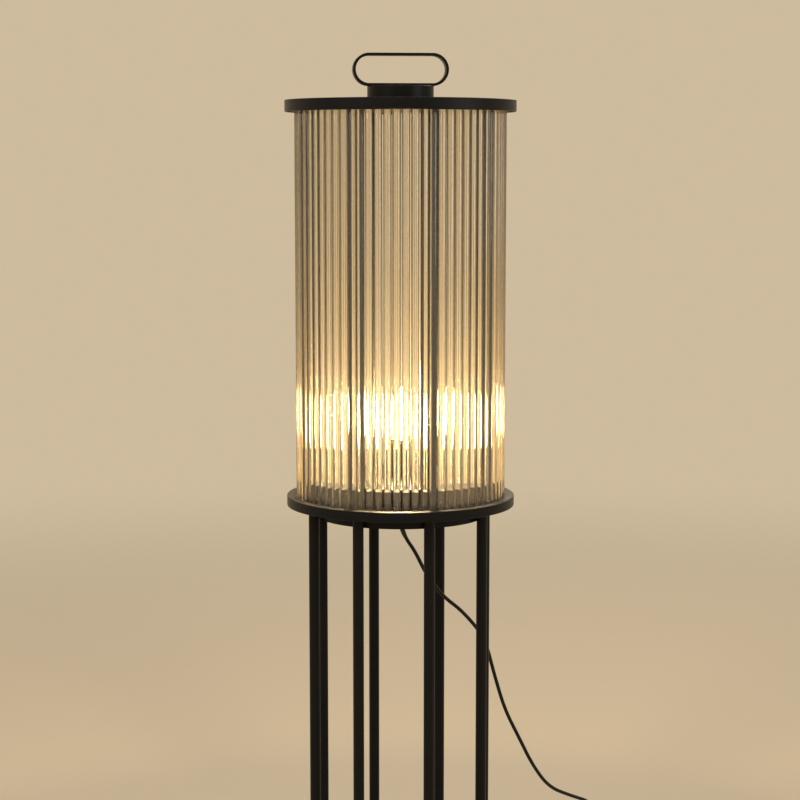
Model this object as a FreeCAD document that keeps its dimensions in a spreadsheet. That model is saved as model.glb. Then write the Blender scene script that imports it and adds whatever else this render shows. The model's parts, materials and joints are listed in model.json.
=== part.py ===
import FreeCAD, Part
import math
import os

import Sketcher

# Lantern floor lamp: eight tubes carry a ring of upright glass rods between a lower disc and a lid
# with a strap handle. The row stands on z = 0 under its pads, +Z is up, and -Y is the front.
# Angles are counted from the front towards +X. Millimetres and degrees.

os.makedirs("parts", exist_ok=True)
doc = FreeCAD.newDocument("lantern_floor_lamp")
sheet = doc.addObject("Spreadsheet::Sheet", "Sizes")

SIZES = (
    # the frame that shows from across the room
    ("disc_dia", 300, "outside of the lower disc and of the lid"),
    ("base_dia", 300, "outside of the base plate"),
    ("base_thick", 13, "base plate"),
    ("leg_length", 657, "leg tube, from the base plate to the lower disc's sheet"),
    ("shade_height", 500, "clear height between the lower disc and the lid's rim"),
    ("lower_rim", 13, "depth of the lower disc's rim"),
    ("lid_rim", 15, "depth of the lid's rim"),
    ("sheet_thick", 2, "sheet of the discs, the rod plate and the drum's ends"),
    ("base_round", 1.5, "rounded edge of the base plate"),
    ("disc_round", 0.8, "rounded edges of the discs"),
    ("frame_turn", -4.5, "turn of the tubes' pattern about the lamp's axis"),
    # tubes
    ("tube_count", 8, "legs, and posts above them"),
    ("post_gap", 2.5, "between the posts and the rods"),
    ("leg_dia", 14, "leg tube, outside"),
    ("post_dia", 12, "post tube inside the shade, outside"),
    ("post_wall", 1, "post's wall; legs have the same bore"),
    ("bush_length", 12, "threaded bush in each tube end"),
    ("fit_gap", 0.1, "radial gap of a plug or screw in its hole"),
    # glass
    ("rod_space", 1.4, "least gap from rod to rod"),
    ("rod_dia", 10, "glass rod"),
    ("disc_brim", 12.5, "disc beyond the rods"),
    ("rod_gap", 0.3, "radial gap of a rod in its hole"),
    ("rod_polish", 0.6, "bevel at each rod's ends"),
    ("rod_rise", 3.5, "rod above the rod plate"),
    ("plate_recess", 1.5, "rod plate above the lid rim's lower edge"),
    ("ring_margin", 0.5, "rest ring and cushion beyond the rods"),
    ("rest_margin", 2.5, "rest ring beyond the rods, on its outside"),
    ("rest_thick", 2, "ring under the rods' feet"),
    ("rim_gap", 1.5, "rod plate's edge inside the lid's rim"),
    # drum
    ("drum_gap", 0.5, "between the drum and the legs"),
    ("drum_rise", 23, "drum above the lower disc"),
    ("drum_drop", 15, "drum below the lower disc's rim"),
    ("drum_wall", 1.5, "drum's wall"),
    ("seat_gap", 0.3, "gap round a cover, a collar or a cap in its seat"),
    ("tab_width", 14, "tab that takes a cover screw"),
    # screws
    ("frame_screw_dia", 6, "countersunk screws and studs of the frame"),
    ("frame_screw_length", 22, "length with the head, and length of a stud"),
    ("small_screw_dia", 4, "countersunk screws of cover, neck and handle"),
    ("small_screw_length", 10, "length with the head"),
    ("screw_gap", 0.3, "radial gap of a frame screw in sheet and plate"),
    ("base_pad_dia", 24, "rubber pad"),
    ("base_pad_thick", 4, "rubber pad, with the part in its recess"),
    ("base_pad_sink", 1, "recess of a pad in the base plate"),
    ("base_pad_edge", 13, "pad's outside to the base's edge"),
    # neck and handle
    ("neck_dia", 86, "neck under the handle"),
    ("neck_height", 18, "neck"),
    ("neck_wall", 2, "neck's side and foot flange"),
    ("neck_top", 4, "neck's top, tapped for the handle"),
    ("neck_flange", 10, "width of the neck's foot flange"),
    ("neck_round", 1, "rounded edge of the neck and of the holder's foot"),
    ("handle_length", 124, "handle over its round ends"),
    ("handle_height", 42, "handle, over both bars"),
    ("band_thick", 3.5, "handle's flat bar"),
    ("band_width", 20, "handle's flat bar"),
    ("band_round", 0.7, "rounded edges of the handle's bar"),
    ("handle_turn", 5.5, "turn of neck and handle about the lamp's axis"),
    ("handle_screw_gap", 40, "between the handle's two screws"),
    # lampholder, E14
    ("holder_dia", 27, "lampholder, outside"),
    ("holder_height", 50, "lampholder above the drum"),
    ("holder_cup", 35, "height of the lampholder's lower cup"),
    ("holder_wall", 1.5, "lampholder's cup wall"),
    ("holder_floor", 3, "lampholder's cup floor"),
    ("thread_dia", 14.4, "inside of the brass screw shell"),
    ("thread_wall", 0.4, "brass screw shell"),
    ("cap_gap", 0.4, "radial gap of the bulb's cap in the brass screw shell"),
    ("core_floor", 6, "floor of the holder's inner part"),
    ("contact_space", 7, "between that floor and the bulb's cap"),
    ("ring_step", 1, "holder ring's narrower mouth"),
    ("nipple_dia", 10, "threaded tube under the holder, and the gland's thread"),
    ("nipple_wall", 1.5, "wall of that tube"),
    ("nut_width", 14, "lock nut across its flats"),
    ("nut_thick", 3, "lock nut"),
    # bulb
    ("bulb_dia", 35, "candle bulb's glass"),
    ("bulb_length", 102, "candle bulb, from contact to tip"),
    ("cap_dia", "=thread_dia - 2 * cap_gap", "bulb's screw cap"),
    ("cap_length", 26, "bulb's screw cap"),
    ("bulb_wall", 0.8, "bulb's glass wall"),
    ("foot_contact", 2.5, "bulb's foot contact below the cap"),
    ("filament_count", 4, "glowing rods in the bulb"),
    ("filament_dia", 1.6, "glowing rod"),
    ("filament_circle", 10, "pitch circle of the glowing rods"),
    ("stem_length", 14, "glass stem under the glowing rods"),
    # terminal block and leads in the drum
    ("block_near", 30, "terminal block from the lamp's axis"),
    ("block_length", 26, "terminal block"),
    ("block_width", 20, "terminal block"),
    ("block_height", 13, "terminal block"),
    ("way_pitch", 6, "from way to way of the terminal block"),
    ("lead_dia", 1.8, "insulated lead"),
    # cord
    ("cord_dia", 5, "mains cord"),
    ("gland_grip", 1.5, "gland's wall round the cord"),
    ("gland_flange", 4, "gland's flange beyond its thread"),
    ("gland_drop", 8, "gland below the drum's cover"),
    ("coil_radius", 33, "outer half turn of the put-away coil, to the cord's middle"),
    ("coil_gap", 0.5, "between one turn and the next"),
    ("coil_pitch", "=cord_dia + coil_gap", "from one turn to the next, sideways and upwards"),
    ("coil_half_turns", 4, "half turns in each of the coil's two layers"),
    ("coil_lift", 0.8, "coil's lower layer above the floor, room for the strap"),
    ("coil_rest", "=cord_dia / 2 + coil_lift", "middle of the coil's lower layer above the floor"),
    ("tie_width", 9, "strap round the coil"),
    ("tie_thick", 0.8, "strap round the coil"),
    # foot switch on the cord
    ("switch_dia", 62, "foot switch, outside"),
    ("switch_base_height", 12, "foot switch's lower shell"),
    ("switch_height", 21, "foot switch without its button"),
    ("switch_wall", 2, "foot switch's shells"),
    ("key_dia", 36, "foot switch's button"),
    ("key_proud", 4, "button above the shell at rest"),
    ("key_travel", 3, "button's travel"),
    ("key_gap", 0.4, "radial gap of the button in its sleeve"),
    ("key_flange", 2.5, "button's flange under the sleeve"),
    ("spring_dia", 12, "return spring, to the wire's middle"),
    ("spring_wire", 1, "return spring's wire"),
    ("spring_turns", 4, "return spring"),
    ("inlet_height", 7, "middle of the cord at the switch and at the plug"),
    ("boot_dia", 9, "boots of the foot switch"),
    ("boot_length", 12, "boot beyond the shell"),
    # plug with two round pins
    ("plug_width", 35, "plug body"),
    ("plug_length", 38, "plug body"),
    ("plug_round", 3, "plug body's rounded edges"),
    ("pin_dia", 4, "plug pin"),
    ("pin_length", 19, "plug pin"),
    ("pin_gap", 19, "between the pins' middles"),
)

for row, (alias, value, note) in enumerate(SIZES, start=1):
    sheet.set(f"A{row}", alias)
    sheet.set(f"B{row}", str(value))
    sheet.set(f"C{row}", note)
    sheet.setAlias(f"B{row}", alias)
doc.recompute()


class Size:
    """A size from the sheet, or sums of such sizes: text for an expression, and its value."""

    def __init__(self, text, value):
        self.text = text
        self.value = value

    def join(self, sign, other, swap=False):
        if not isinstance(other, Size):
            other = Size(str(other), other)
        a, b = (other, self) if swap else (self, other)
        text = f"({a.text} {sign} {b.text})"
        value = {
            "+": lambda: a.value + b.value,
            "-": lambda: a.value - b.value,
            "*": lambda: a.value * b.value,
            "/": lambda: a.value / b.value,
        }[sign]()
        return Size(text, value)

    def __add__(self, other):
        return self.join("+", other)

    def __radd__(self, other):
        return self.join("+", other, swap=True)

    def __sub__(self, other):
        return self.join("-", other)

    def __rsub__(self, other):
        return self.join("-", other, swap=True)

    def __mul__(self, other):
        return self.join("*", other)

    def __truediv__(self, other):
        return self.join("/", other)

    def __rtruediv__(self, other):
        return self.join("/", other, swap=True)


def size(alias):
    return Size(f"Sizes.{alias}", float(sheet.get(alias)))


def fixed(number):
    return Size(str(number), number)


def sine(angle):
    return Size(f"sin({angle.text})", math.sin(math.radians(angle.value)))


def cosine(angle):
    return Size(f"cos({angle.text})", math.cos(math.radians(angle.value)))


def whole(amount):
    return Size(f"floor({amount.text})", math.floor(amount.value))


def bind(thing, name, amount):
    thing.setExpression(name, amount.text)


def place(thing, x=None, y=None, z=None, turn=None, offset="Placement"):
    """Binds where a thing stands, and its turn about Z."""
    for axis, amount in (("x", x), ("y", y), ("z", z)):
        if amount is not None:
            bind(thing, f"{offset}.Base.{axis}", amount)
    if turn is not None:
        bind(thing, f"{offset}.Rotation.Angle", turn)


def place_round(thing, radius, angle, z, offset="Placement"):
    place(thing, radius * sine(angle), fixed(0) - radius * cosine(angle), z, offset=offset)


def cylinder(name, radius, height):
    item = doc.addObject("Part::Cylinder", name)
    bind(item, "Radius", radius)
    bind(item, "Height", height)
    return item


def cone(name, low_radius, high_radius, height):
    item = doc.addObject("Part::Cone", name)
    bind(item, "Radius1", low_radius)
    bind(item, "Radius2", high_radius)
    bind(item, "Height", height)
    return item


def box(name, length, width, height):
    item = doc.addObject("Part::Box", name)
    bind(item, "Length", length)
    bind(item, "Width", width)
    bind(item, "Height", height)
    return item


def cut(name, base, tool):
    item = doc.addObject("Part::Cut", name)
    item.Base = base
    item.Tool = tool
    return item


def fuse(name, *items):
    item = doc.addObject("Part::MultiFuse", name)
    item.Shapes = list(items)
    return item


def group(name, items):
    item = doc.addObject("Part::Compound", name)
    item.Links = list(items)
    return item


def origin_part(body, role):
    return next(part for part in body.Origin.OriginFeatures if part.Role == role)


def new_body(name):
    return doc.addObject("PartDesign::Body", name)


def attach(item, body, plane="XY_Plane"):
    item.AttachmentSupport = [(origin_part(body, plane), "")]
    item.MapMode = "FlatFace"


def profile(body, name, points):
    """A closed outline of straight lines on the body's XZ plane, each corner bound to the sheet."""
    sketch = body.newObject("Sketcher::SketchObject", name)
    attach(sketch, body, "XZ_Plane")
    places = [FreeCAD.Vector(x.value, y.value, 0) for x, y in points]
    for number, start in enumerate(places):
        sketch.addGeometry(Part.LineSegment(start, places[(number + 1) % len(places)]), False)
    for number, (x, y) in enumerate(points):
        following = (number + 1) % len(points)
        sketch.addConstraint(Sketcher.Constraint("Coincident", number, 2, following, 1))
        if x.value == 0:
            sketch.addConstraint(Sketcher.Constraint("PointOnObject", number, 1, -2))
        else:
            index = sketch.addConstraint(
                Sketcher.Constraint("DistanceX", -1, 1, number, 1, x.value)
            )
            bind(sketch, f"Constraints[{index}]", x)
        if y.value == 0:
            sketch.addConstraint(Sketcher.Constraint("PointOnObject", number, 1, -1))
        else:
            index = sketch.addConstraint(
                Sketcher.Constraint("DistanceY", -1, 1, number, 1, y.value)
            )
            bind(sketch, f"Constraints[{index}]", y)
    return sketch


def turned(name, points):
    """A body turned about Z from an outline of (radius, height) corners."""
    body = new_body(name)
    sketch = profile(body, f"{name}_outline", points)
    turn = body.newObject("PartDesign::Revolution", f"{name}_turned")
    turn.Profile = sketch
    turn.ReferenceAxis = (sketch, ["V_Axis"])
    turn.Angle = 360
    return body


def ring_edges(shape, radius, height):
    """Names of the circles about Z that have this radius and height."""
    found = []
    for number, edge in enumerate(shape.Edges, start=1):
        curve = edge.Curve
        if not isinstance(curve, Part.Circle):
            continue
        off_axis = math.hypot(curve.Center.x, curve.Center.y)
        if off_axis < 1e-6 and abs(curve.Radius - radius) < 1e-6:
            if abs(curve.Center.z - height) < 1e-6:
                found.append(f"Edge{number}")
    return found


def round_edges(body, rings, amount):
    """Rounds the body's circular edges at the (radius, height) pairs given."""
    doc.recompute()
    tip = body.Tip
    names = [name for r, z in rings for name in ring_edges(tip.Shape, r.value, z.value)]
    item = body.newObject("PartDesign::Fillet", f"{body.Name}_round")
    item.Base = (tip, names)
    bind(item, "Radius", amount)
    body.Tip = item
    return item


def cut_primitive(body, kind, name, sizes):
    item = body.newObject(f"PartDesign::Subtractive{kind}", name)
    attach(item, body)
    for key, amount in sizes:
        bind(item, key, amount)
    return item


def drill(body, name, circle, dia, low, high, count, turn, sink=None):
    """Holes on a circle about Z. sink is (wide dia, height of the wide end, depth, +1 or -1)."""
    doc.recompute()
    before = body.Shape.Volume
    shaft_sizes = (("Radius", dia / 2), ("Height", high - low))
    hole = cut_primitive(body, "Cylinder", f"{name}_hole", shaft_sizes)
    place_round(hole, circle / 2, turn, low, offset="AttachmentOffset")
    features = [hole]
    if sink is not None:
        wide, mouth, depth, way = sink
        narrow = wide / 2 - depth
        low_radius, high_radius = (narrow, wide / 2) if way > 0 else (wide / 2, narrow)
        sink_sizes = (("Radius1", low_radius), ("Radius2", high_radius), ("Height", depth))
        countersink = cut_primitive(body, "Cone", f"{name}_sink", sink_sizes)
        bottom = mouth - depth if way > 0 else mouth
        place_round(countersink, circle / 2, turn, bottom, offset="AttachmentOffset")
        features.append(countersink)
    if count is not None:
        repeat = body.newObject("PartDesign::PolarPattern", f"{name}_holes")
        repeat.Originals = features
        repeat.Axis = (origin_part(body, "Z_Axis"), [""])
        repeat.Angle = 360
        bind(repeat, "Occurrences", count)
        body.Tip = repeat
    doc.recompute()
    if body.Shape.Volume >= before:
        raise RuntimeError(f"{name} cuts nothing")


def vector(*amounts):
    return FreeCAD.Vector(*[a.value if isinstance(a, Size) else a for a in amounts])


# heights above the floor
base_bottom = size("base_pad_thick") - size("base_pad_sink")
base_top = base_bottom + size("base_thick")
leg_top = base_top + size("leg_length")
disc_top = leg_top + size("sheet_thick")
disc_rim = disc_top - size("lower_rim")
drum_bottom = disc_rim - size("drum_drop")
cover_top = drum_bottom + size("sheet_thick")
drum_top = disc_top + size("drum_rise")
drum_under = drum_top - size("sheet_thick")
lid_rim_edge = disc_top + size("shade_height")
lid_top = lid_rim_edge + size("lid_rim")
lid_under = lid_top - size("sheet_thick")
plate_low = lid_rim_edge + size("plate_recess")
plate_top = plate_low + size("sheet_thick")
rod_top = plate_top + size("rod_rise")
neck_top = lid_top + size("neck_height")
handle_top = neck_top + size("handle_height")

# pitch circles, from the disc's edge inwards: rods, tubes, drum
rod_circle = size("disc_dia") - size("disc_brim") * 2 - size("rod_dia")
tube_circle = rod_circle - size("rod_dia") - size("post_gap") * 2 - size("post_dia")
tube_bore = size("post_dia") - size("post_wall") * 2
rods_per_tube = whole(
    rod_circle * math.pi / (size("rod_dia") + size("rod_space")) / size("tube_count")
)
rod_count = rods_per_tube * size("tube_count")

# radii and angles that several pieces share
disc_radius = size("disc_dia") / 2
drum_radius = tube_circle / 2 - size("leg_dia") / 2 - size("drum_gap")
drum_inside = drum_radius - size("drum_wall")
tab_circle = drum_inside * 2 - size("tab_width")
base_pad_circle = size("base_dia") - size("base_pad_edge") * 2 - size("base_pad_dia")
rim_inside = disc_radius - size("sheet_thick")
tube_step = 360 / size("tube_count")
first_tube = size("frame_turn") + tube_step / 2
tube_total = int(size("tube_count").value)
screw_hole = size("frame_screw_dia") + size("screw_gap") * 2
head_dia = size("frame_screw_dia") * 2
small_head_dia = size("small_screw_dia") * 2
rest_inside = rod_circle / 2 - size("rod_dia") / 2 - size("ring_margin")
rest_outside = rod_circle / 2 + size("rod_dia") / 2 + size("rest_margin")


# ---- base plate and its pads ----

base_radius = size("base_dia") / 2
base_plate = turned(
    "base_plate",
    [
        (fixed(0), base_bottom),
        (base_radius, base_bottom),
        (base_radius, base_top),
        (fixed(0), base_top),
    ],
)
round_edges(base_plate, [(base_radius, base_bottom), (base_radius, base_top)], size("base_round"))
drill(
    base_plate,
    "leg_screw",
    tube_circle,
    screw_hole,
    base_bottom,
    base_top,
    size("tube_count"),
    first_tube,
    sink=(head_dia, base_bottom, size("frame_screw_dia") / 2, -1),
)
drill(
    base_plate,
    "pad",
    base_pad_circle,
    size("base_pad_dia") + size("seat_gap") * 2,
    base_bottom,
    base_bottom + size("base_pad_sink"),
    size("tube_count"),
    size("frame_turn"),
)

base_pads = []
for number in range(tube_total):
    pad = cylinder(f"base_pad_{number + 1}", size("base_pad_dia") / 2, size("base_pad_thick"))
    place_round(pad, base_pad_circle / 2, size("frame_turn") + tube_step * number, fixed(0))
    base_pads.append(pad)
base_pads = group("base_pads", base_pads)


# ---- legs and posts: tubes with a threaded bush in each end ----

bush_radius = tube_bore / 2 - size("fit_gap")
stud_radius = size("frame_screw_dia") / 2


def tube(name, dia, low, length, angle):
    outer = cylinder(f"{name}_outer", dia / 2, length)
    inner = cylinder(f"{name}_bore", tube_bore / 2, length)
    for item in (outer, inner):
        place_round(item, tube_circle / 2, angle, low)
    return cut(name, outer, inner)


def bush(name, low, angle):
    outer = cylinder(f"{name}_outer", bush_radius, size("bush_length"))
    inner = cylinder(f"{name}_thread", stud_radius + size("fit_gap"), size("bush_length"))
    for item in (outer, inner):
        place_round(item, tube_circle / 2, angle, low)
    return cut(name, outer, inner)


def countersunk(name, dia, length, mouth, way):
    """A countersunk screw as one solid on Z. way +1 points it up from its mouth, -1 down."""
    head = dia / 2
    start = mouth if way > 0 else mouth - length
    shank = cylinder(f"{name}_shank", dia / 2, length)
    place(shank, z=start)
    wide = dia - size("fit_gap")
    slim = dia / 2
    low_radius, high_radius = (wide, slim) if way > 0 else (slim, wide)
    top = cone(f"{name}_head", low_radius, high_radius, head)
    place(top, z=mouth if way > 0 else mouth - head)
    return fuse(name, shank, top)


post_length = plate_low - disc_top
legs, posts, bushes, frame_screws, studs, spacers = [], [], [], [], [], []
for number in range(tube_total):
    angle = first_tube + tube_step * number
    legs.append(tube(f"leg_{number + 1}", size("leg_dia"), base_top, size("leg_length"), angle))
    posts.append(tube(f"post_{number + 1}", size("post_dia"), disc_top, post_length, angle))
    ends = (
        base_top,
        leg_top - size("bush_length"),
        disc_top,
        plate_low - size("bush_length"),
    )
    for place_number, low in enumerate(ends, start=1):
        bushes.append(bush(f"bush_{number + 1}_{place_number}", low, angle))

    stud = cylinder(f"stud_{number + 1}", stud_radius, size("frame_screw_length"))
    middle = disc_top - size("sheet_thick") / 2
    place_round(stud, tube_circle / 2, angle, middle - size("frame_screw_length") / 2)
    studs.append(stud)

    for end, mouth, way in (("foot", base_bottom, 1), ("lid", lid_top, -1)):
        name = f"{end}_screw_{number + 1}"
        screw = countersunk(name, size("frame_screw_dia"), size("frame_screw_length"), mouth, way)
        place_round(screw, tube_circle / 2, angle, fixed(0))
        frame_screws.append(screw)

    # the lid stands on spacers, whose mouths are sunk for the screw heads
    outer = cylinder(f"spacer_{number + 1}_outer", size("post_dia") / 2, lid_under - plate_top)
    inner = cylinder(f"spacer_{number + 1}_bore", screw_hole / 2, lid_under - plate_top)
    sink_depth = size("frame_screw_dia") / 2 - size("sheet_thick")
    mouth = cone(
        f"spacer_{number + 1}_mouth",
        stud_radius,
        head_dia / 2 - size("sheet_thick"),
        sink_depth,
    )
    for item, low in ((outer, plate_top), (inner, plate_top), (mouth, lid_under - sink_depth)):
        place_round(item, tube_circle / 2, angle, low)
    bore = fuse(f"spacer_{number + 1}_hole", inner, mouth)
    spacers.append(cut(f"spacer_{number + 1}", outer, bore))

tube_bushes = group("tube_bushes", bushes)
post_studs = group("post_studs", studs)
frame_screws = group("frame_screws", frame_screws)
lid_spacers = group("lid_spacers", spacers)


# ---- lower disc: a flanged pan with holes for the rods' feet ----

disc_inside = drum_radius + size("seat_gap")
lip_inside = rest_outside + size("sheet_thick")
lower_disc = turned(
    "lower_disc",
    [
        (disc_inside, leg_top),
        (rim_inside, leg_top),
        (rim_inside, disc_rim + size("sheet_thick")),
        (lip_inside, disc_rim + size("sheet_thick")),
        (lip_inside, disc_rim),
        (disc_radius, disc_rim),
        (disc_radius, disc_top),
        (disc_inside, disc_top),
    ],
)
round_edges(
    lower_disc,
    [(disc_radius, disc_rim), (disc_radius, disc_top)],
    size("disc_round"),
)
rod_step = 360 / rod_count
rod_hole = size("rod_dia") + size("rod_gap") * 2
first_rod = size("frame_turn") + rod_step / 2
drill(
    lower_disc,
    "rod_foot",
    rod_circle,
    rod_hole,
    leg_top,
    disc_top,
    rod_count,
    first_rod,
)
drill(
    lower_disc,
    "stud",
    tube_circle,
    screw_hole,
    leg_top,
    disc_top,
    size("tube_count"),
    first_tube,
)

rod_rest_ring = turned(
    "rod_rest_ring",
    [
        (rest_inside, leg_top - size("rest_thick")),
        (rest_outside, leg_top - size("rest_thick")),
        (rest_outside, leg_top),
        (rest_inside, leg_top),
    ],
)


# ---- drum through the lower disc, its cover, gland, terminal block and leads ----

drum = turned(
    "drum",
    [
        (drum_inside, drum_bottom),
        (drum_radius, drum_bottom),
        (drum_radius, drum_top),
        (fixed(0), drum_top),
        (fixed(0), drum_under),
        (drum_inside, drum_under),
    ],
)
round_edges(drum, [(drum_radius, drum_top)], size("drum_wall"))
tab = drum.newObject("PartDesign::AdditiveBox", "drum_tab")
attach(tab, drum)
bind(tab, "Length", size("tab_width"))
bind(tab, "Width", size("tab_width"))
bind(tab, "Height", size("sheet_thick"))
place(
    tab,
    x=fixed(0) - size("tab_width") / 2,
    y=size("drum_wall") / 2 - drum_radius,
    z=cover_top,
    offset="AttachmentOffset",
)
tabs = drum.newObject("PartDesign::PolarPattern", "drum_tabs")
tabs.Originals = [tab]
tabs.Axis = (origin_part(drum, "Z_Axis"), [""])
tabs.Angle = 360
tabs.Occurrences = 4
drum.Tip = tabs
small_hole = size("small_screw_dia") + size("fit_gap") * 2
four = fixed(4)
drill(
    drum,
    "tab_thread",
    tab_circle,
    small_hole,
    cover_top,
    cover_top + size("sheet_thick"),
    four,
    fixed(0),
)
nipple_hole = size("nipple_dia") + size("fit_gap") * 4
drill(drum, "nipple", fixed(0), nipple_hole, drum_under, drum_top, None, fixed(0))

cover_radius = drum_inside - size("seat_gap")
drum_cover = turned(
    "drum_cover",
    [
        (fixed(0), drum_bottom),
        (cover_radius, drum_bottom),
        (cover_radius, cover_top),
        (fixed(0), cover_top),
    ],
)
drill(
    drum_cover,
    "cover_screw",
    tab_circle,
    small_hole,
    drum_bottom,
    cover_top,
    four,
    fixed(0),
    sink=(small_head_dia + size("fit_gap") * 2, drum_bottom, size("sheet_thick"), -1),
)
drill(drum_cover, "gland", fixed(0), nipple_hole, drum_bottom, cover_top, None, fixed(0))

# the gland closes round the cord at the foot of its nose
gland_radius = size("nipple_dia") / 2
gland_foot = drum_bottom - size("gland_drop")
gland_collar = size("gland_drop") / 4
cord_radius = size("cord_dia") / 2
cord_gland = turned(
    "cord_gland",
    [
        (fixed(0), gland_foot),
        (cord_radius + size("gland_grip"), gland_foot),
        (gland_radius + size("gland_grip"), drum_bottom - gland_collar),
        (gland_radius + size("gland_flange"), drum_bottom - gland_collar),
        (gland_radius + size("gland_flange"), drum_bottom),
        (gland_radius, drum_bottom),
        (gland_radius, cover_top + size("nut_thick") * 2),
        (cord_radius + size("seat_gap"), cover_top + size("nut_thick") * 2),
        (cord_radius + size("seat_gap"), gland_foot + gland_collar),
        (fixed(0), gland_foot + gland_collar),
    ],
)

nuts = []
nut_places = (
    ("gland", cover_top),
    ("drum", drum_under - size("nut_thick")),
    ("holder", drum_top + size("holder_floor")),
)
for owner, low in nut_places:
    blank = doc.addObject("Part::Prism", f"{owner}_nut_blank")
    blank.Polygon = 6
    bind(blank, "Circumradius", size("nut_width") / 2 / cosine(fixed(30)))
    bind(blank, "Height", size("nut_thick"))
    thread = cylinder(f"{owner}_nut_thread", gland_radius + size("fit_gap"), size("nut_thick"))
    place(blank, z=low)
    place(thread, z=low)
    nuts.append(cut(f"{owner}_nut", blank, thread))
lock_nuts = group("lock_nuts", nuts)

block_blank = box("block_blank", size("block_length"), size("block_width"), size("block_height"))
place(block_blank, x=size("block_near"), y=fixed(0) - size("block_width") / 2, z=cover_top)
way_height = cover_top + size("block_height") / 2
block_ways = []
for number in (-1, 0, 1):
    way = cylinder(
        f"block_way_{number + 2}",
        size("lead_dia") / 2 + size("seat_gap"),
        size("block_length"),
    )
    way.Placement.Rotation = FreeCAD.Rotation(FreeCAD.Vector(0, 1, 0), 90)
    place(way, x=size("block_near"), y=size("way_pitch") * number, z=way_height)
    block_ways.append(way)
terminal_block = cut("terminal_block", block_blank, fuse("block_ways", *block_ways))


def tangent_path(points):
    """Straight runs joined by arcs as large as each pair of runs allows; prints the radii."""
    edges, radii = [], []
    start = points[0]
    for before, corner, after in zip(points, points[1:], points[2:]):
        run_in, run_out = corner - before, after - corner
        half = run_in.getAngle(run_out) / 2
        reach = 0.45 * min(run_in.Length, run_out.Length)
        radius = reach / math.tan(half)
        run_in.normalize()
        run_out.normalize()
        first, last = corner - run_in * reach, corner + run_out * reach
        inward = run_out - run_in
        inward.normalize()
        middle = corner + inward * (radius / math.cos(half) - radius)
        edges.append(Part.LineSegment(start, first).toShape())
        edges.append(Part.Arc(first, middle, last).toShape())
        radii.append(radius)
        start = last
    edges.append(Part.LineSegment(start, points[-1]).toShape())
    print("  radii:", " ".join(f"{radius:.0f}" for radius in radii))
    return Part.Wire(edges)


def half_turn(start, end, heading):
    """Two equal arcs that turn about from start, where they run along heading, to end."""
    centre = (start + end) / 2
    radius = (end - start).Length / 2
    joint = centre + heading * radius
    arcs = []
    for first, last in ((start, joint), (joint, end)):
        outward = (first + last) / 2 - centre
        outward.normalize()
        arcs.append(Part.Arc(first, centre + outward * radius, last).toShape())
    return arcs


def swept(path, radius):
    """A round tube along a path, checked against its section times its length."""
    start = path.Edges[0]
    normal = start.tangentAt(start.FirstParameter)
    section = Part.Wire(Part.makeCircle(radius, start.Vertexes[0].Point, normal))
    shell = Part.BRepOffsetAPI.MakePipeShell(path)
    shell.add(section)
    shell.build()
    shell.makeSolid()
    solid = shell.shape()
    wanted = math.pi * radius**2 * path.Length
    print(f"  length {path.Length:.1f} mm, volume {solid.Volume / wanted:.4f} of section x length")
    if abs(solid.Volume / wanted - 1) > 0.01:
        raise RuntimeError("a swept tube doesn't have its section's volume")
    return solid


def feature(name, shape):
    item = doc.addObject("Part::Feature", name)
    item.Shape = shape
    return item


lead_end = drum_under - size("nut_thick") - 4
leads = []
for side in (-1, 1):
    print("holder lead")
    route = [
        vector(size("block_near"), size("way_pitch") * side, way_height),
        vector(size("block_near") - 12, size("way_pitch") * side, way_height),
        vector(4, 2.2 * side, (cover_top + drum_under) / 2 + 6),
        vector(0, 1.4 * side, lead_end),
    ]
    leads.append(swept(tangent_path(route), size("lead_dia").value / 2))
holder_leads = feature("holder_leads", Part.makeCompound(leads))


# ---- lampholder and bulb ----

holder_top = drum_top + size("holder_height")
cup_top = drum_top + size("holder_cup")
cup_floor = drum_top + size("holder_floor")
holder_radius = size("holder_dia") / 2
nipple_low = drum_under - size("nut_thick") - 2
nipple_high = cup_floor + size("nut_thick") + 1
shell_outside = size("thread_dia") / 2 + size("thread_wall")
core_bottom = nipple_high + size("seat_gap")
contact_low = core_bottom + size("core_floor")
cap_bottom = contact_low + size("contact_space")

holder_nipple = turned(
    "holder_nipple",
    [
        (gland_radius - size("nipple_wall"), nipple_low),
        (gland_radius, nipple_low),
        (gland_radius, nipple_high),
        (gland_radius - size("nipple_wall"), nipple_high),
    ],
)
holder_body = turned(
    "holder_body",
    [
        (nipple_hole / 2, drum_top),
        (holder_radius, drum_top),
        (holder_radius, cup_top),
        (holder_radius - size("holder_wall"), cup_top),
        (holder_radius - size("holder_wall"), cup_floor),
        (nipple_hole / 2, cup_floor),
    ],
)
round_edges(holder_body, [(holder_radius, drum_top)], size("neck_round"))
core_outside = holder_radius - size("holder_wall") - size("seat_gap")
holder_core = turned(
    "holder_core",
    [
        (fixed(0), core_bottom),
        (core_outside, core_bottom),
        (core_outside, cup_top),
        (shell_outside + size("fit_gap"), cup_top),
        (shell_outside + size("fit_gap"), contact_low),
        (fixed(0), contact_low),
    ],
)
holder_ring = turned(
    "holder_ring",
    [
        (shell_outside + size("seat_gap"), cup_top),
        (holder_radius, cup_top),
        (holder_radius, holder_top - 4),
        (holder_radius - size("ring_step"), holder_top - 2),
        (holder_radius - size("ring_step"), holder_top),
        (shell_outside + size("seat_gap"), holder_top),
    ],
)
holder_thread = turned(
    "holder_thread",
    [
        (size("thread_dia") / 2, contact_low),
        (shell_outside, contact_low),
        (shell_outside, holder_top - 2),
        (size("thread_dia") / 2, holder_top - 2),
    ],
)
bulb_foot = cap_bottom - size("foot_contact")
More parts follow.
